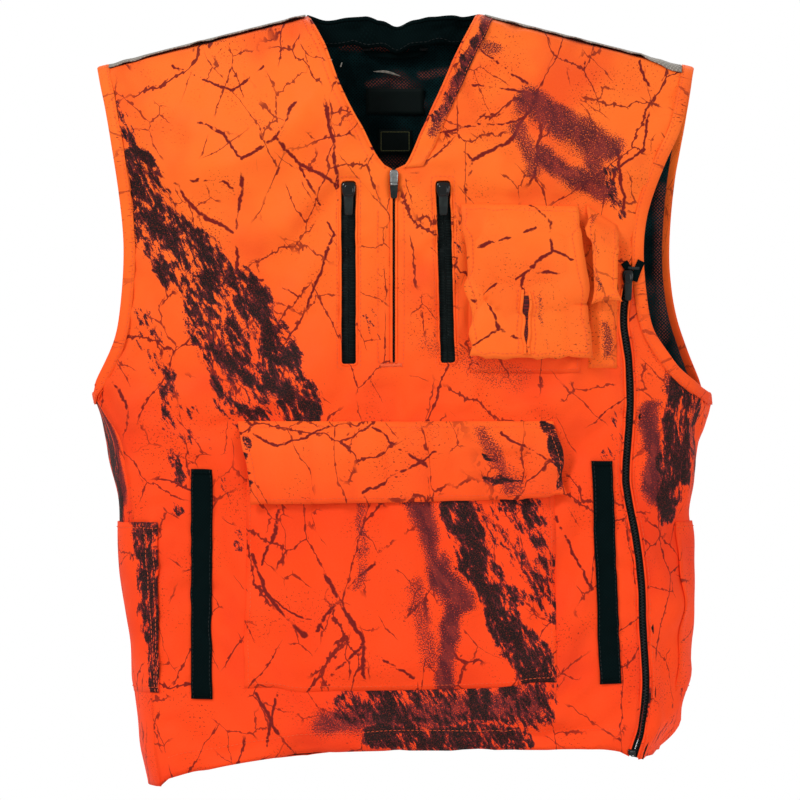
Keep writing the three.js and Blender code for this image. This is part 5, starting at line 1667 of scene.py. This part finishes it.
def slider(node, pull_node, body, pull_body, rounded):
    """A zip slider: a wedge body with a raised bridge, and its pull hanging from the bridge."""
    centre, size = slider_frame(node)
    down, across, out = np.array([0, 0, -1.0]), np.array([1.0, 0, 0]), np.array([0, -1.0, 0])
    metal = PLASTIC if rounded else SILVER
    wide, tall = size[0] / 2 * (1.12 if rounded else 1.0), size[2] / 2
    face = centre + out * (size[1] / 2 - 2.2)
    rings = []
    for t, w, d in ((-1.0, 0.55, 0.5), (-0.85, 0.86, 1.0), (-0.4, 1.0, 1.4), (0.2, 0.92, 1.4), (0.75, 0.72, 1.1), (1.0, 0.5, 0.5)):
        rings.append((face + down * t * tall, across, out, wide * w, d, 0.7 if rounded else 0.35))
    shell = lump(f"{node}_shell", rings, metal, body)
    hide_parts(node)
    if rounded:
        rings = []
        for t, w in ((-0.75, 0.3), (-0.5, 0.62), (0, 0.72), (0.5, 0.62), (0.75, 0.3)):
            rings.append((face + out * 1.0 + down * t * tall, across, out, wide * w, 1.15 * (w + 0.2), 0.9))
        lump(f"{node}_crown", rings, metal, body)
    else:
        # an open rectangular frame standing on the body
        loop = np.array([face + out * 0.8 + across * x + down * z for x, z in
                         ((-wide * 0.7, -tall * 0.8), (wide * 0.7, -tall * 0.8), (wide * 0.7, tall * 0.95), (-wide * 0.7, tall * 0.95))])
        loop = evenly(np.vstack([loop, loop[:1]]), 41)[:-1]
        sweep(f"{node}_bail", loop, np.tile(out, (40, 1)), oval(1.5, 1.2), metal, closed=True, body=body)
        lump(f"{node}_bar", [(face + down * (tall + 1.5) + across * x + out * 1.0, down, out, w, w, 0.8)
                             for x, w in ((-wide * 0.85, 0.7), (-wide * 0.6, 1.2), (wide * 0.6, 1.2), (wide * 0.85, 0.7))],
             metal, body)
    low, high = box(pull_node)
    top, bottom = high[2], low[2]
    middle = (low + high) / 2
    face = np.array([middle[0], low[1] + 1.6, 0])
    w0, w1 = (high[0] - low[0]) / 2 * (0.86 if rounded else 0.98), (high[0] - low[0]) / 2 * 0.8
    rings = []
    length = top - bottom
    for t, w, d, p in ((0, 0.35, 0.4, 0.5), (0.07, 0.5, 0.6, 0.5), (0.13, 0.95, 0.9, 0.4), (0.35, 0.96, 1.0, 0.35),
                       (0.40, 0.96, 1.35, 0.35), (0.46, 0.95, 1.0, 0.35), (0.52, 0.94, 1.35, 0.35), (0.58, 0.93, 1.0, 0.35),
                       (0.64, 0.92, 1.35, 0.35), (0.70, 0.91, 1.0, 0.35), (0.93, 0.86, 1.2, 0.35), (1.0, 0.6, 0.5, 0.5)):
        width = (w0 + (w1 - w0) * t) * w
        rings.append((face + np.array([0, 0, top - length * t]), across, out, width, d, p))
    tab = lump(f"{pull_node}_tab", rings, RUBBER, pull_body)
    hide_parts(pull_node)


slider("front_zip_slider", "front_zip_pull", "front_zip_slider", "front_zip_pull", False)
for which in ("right", "left"):
    slider(f"chest_zip_slider_{which}", f"chest_zip_pull_{which}", f"chest_zip_slider_{which}",
           f"chest_zip_pull_{which}", True)
slider("side_zip_slider", "side_zip_pull", "side_zip_slider", "side_zip_pull", True)


def garage():
    """The V of black tape that the top of the side zip runs into."""
    for name, end, lift in (("right", (217, -202), 1.6), ("left", (234, -200), 2.6)):
        line = evenly([(226.5, -219), ((226.5 + end[0]) / 2, -209), end], 16)
        points, normals = on(on_front, line, lift)
        obj = sweep(f"side_zip_garage_{name}_tape", points, normals, band(7.6, 1.1, 0, 0.4), BLACK)
        if name == "right":
            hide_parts("side_zip_garage")
    bartack("side_zip_bartack", on_front, (220, -207), (232, -207), DARK_THREAD, lift=3.2)


garage()


# ---- camera, light and floor ----
def area_light(name, place, target, size, power):
    data = bpy.data.lights.new(name, "AREA")
    data.shape, data.size, data.energy = "SQUARE", size, power
    obj = bpy.data.objects.new(name, data)
    obj.location = place
    direction = np.array(target, float) - np.array(place, float)
    from mathutils import Vector
    obj.rotation_euler = Vector(direction).to_track_quat("-Z", "Y").to_euler()
    bpy.context.scene.collection.objects.link(obj)


def studio():
    scene = bpy.context.scene
    data = bpy.data.cameras.new("camera")
    data.lens, data.sensor_width = 284, 36
    camera = bpy.data.objects.new("camera", data)
    camera.location = (0.00475, -6.116, -0.3325)
    camera.rotation_euler = (math.pi / 2, 0, 0)
    data.clip_end = 50
    scene.collection.objects.link(camera)
    scene.camera = camera
    middle = (0, 0, -0.33)
    area_light("key", (-1.9, -2.2, 1.6), middle, 0.9, 54)
    area_light("fill", (2.4, -2.4, 0.1), middle, 1.6, 24)
    area_light("rim", (0.5, 2.6, 1.6), middle, 1.6, 34)
    # the backdrop is pure white to the camera, and softer as a light
    world = bpy.data.worlds.new("studio")
    world.use_nodes = True
    tree = world.node_tree
    soft, seen = tree.nodes["Background"], tree.nodes.new("ShaderNodeBackground")
    soft.inputs[1].default_value, seen.inputs[1].default_value = 0.62, 1.0
    soft.inputs[0].default_value = seen.inputs[0].default_value = (1, 1, 1, 1)
    rays, both = tree.nodes.new("ShaderNodeLightPath"), tree.nodes.new("ShaderNodeMixShader")
    tree.links.new(rays.outputs["Is Camera Ray"], both.inputs[0])
    tree.links.new(soft.outputs[0], both.inputs[1])
    tree.links.new(seen.outputs[0], both.inputs[2])
    tree.links.new(both.outputs[0], tree.nodes["World Output"].inputs[0])
    scene.world = world
    scene.view_settings.view_transform = "Standard"
    floor = Paint("floor", (0.9, 0.9, 0.9, 1), 0.9)
    grain = floor.noise(floor.place(), 3, 2)
    material = floor.finish(floor.mix(floor.ramp(grain, 0.3, 0.7), (0.94, 0.94, 0.94, 1), (0.9, 0.9, 0.9, 1)))
    turn = np.linspace(0, 2 * math.pi, 97)[:-1]
    disc = np.stack([780 * np.cos(turn), 780 * np.sin(turn), np.full(96, -770.0)], -1)
    make("floor", disc, [tuple(range(96))], material, disc[:, :2], body=None)


studio()
bpy.context.view_layer.update()
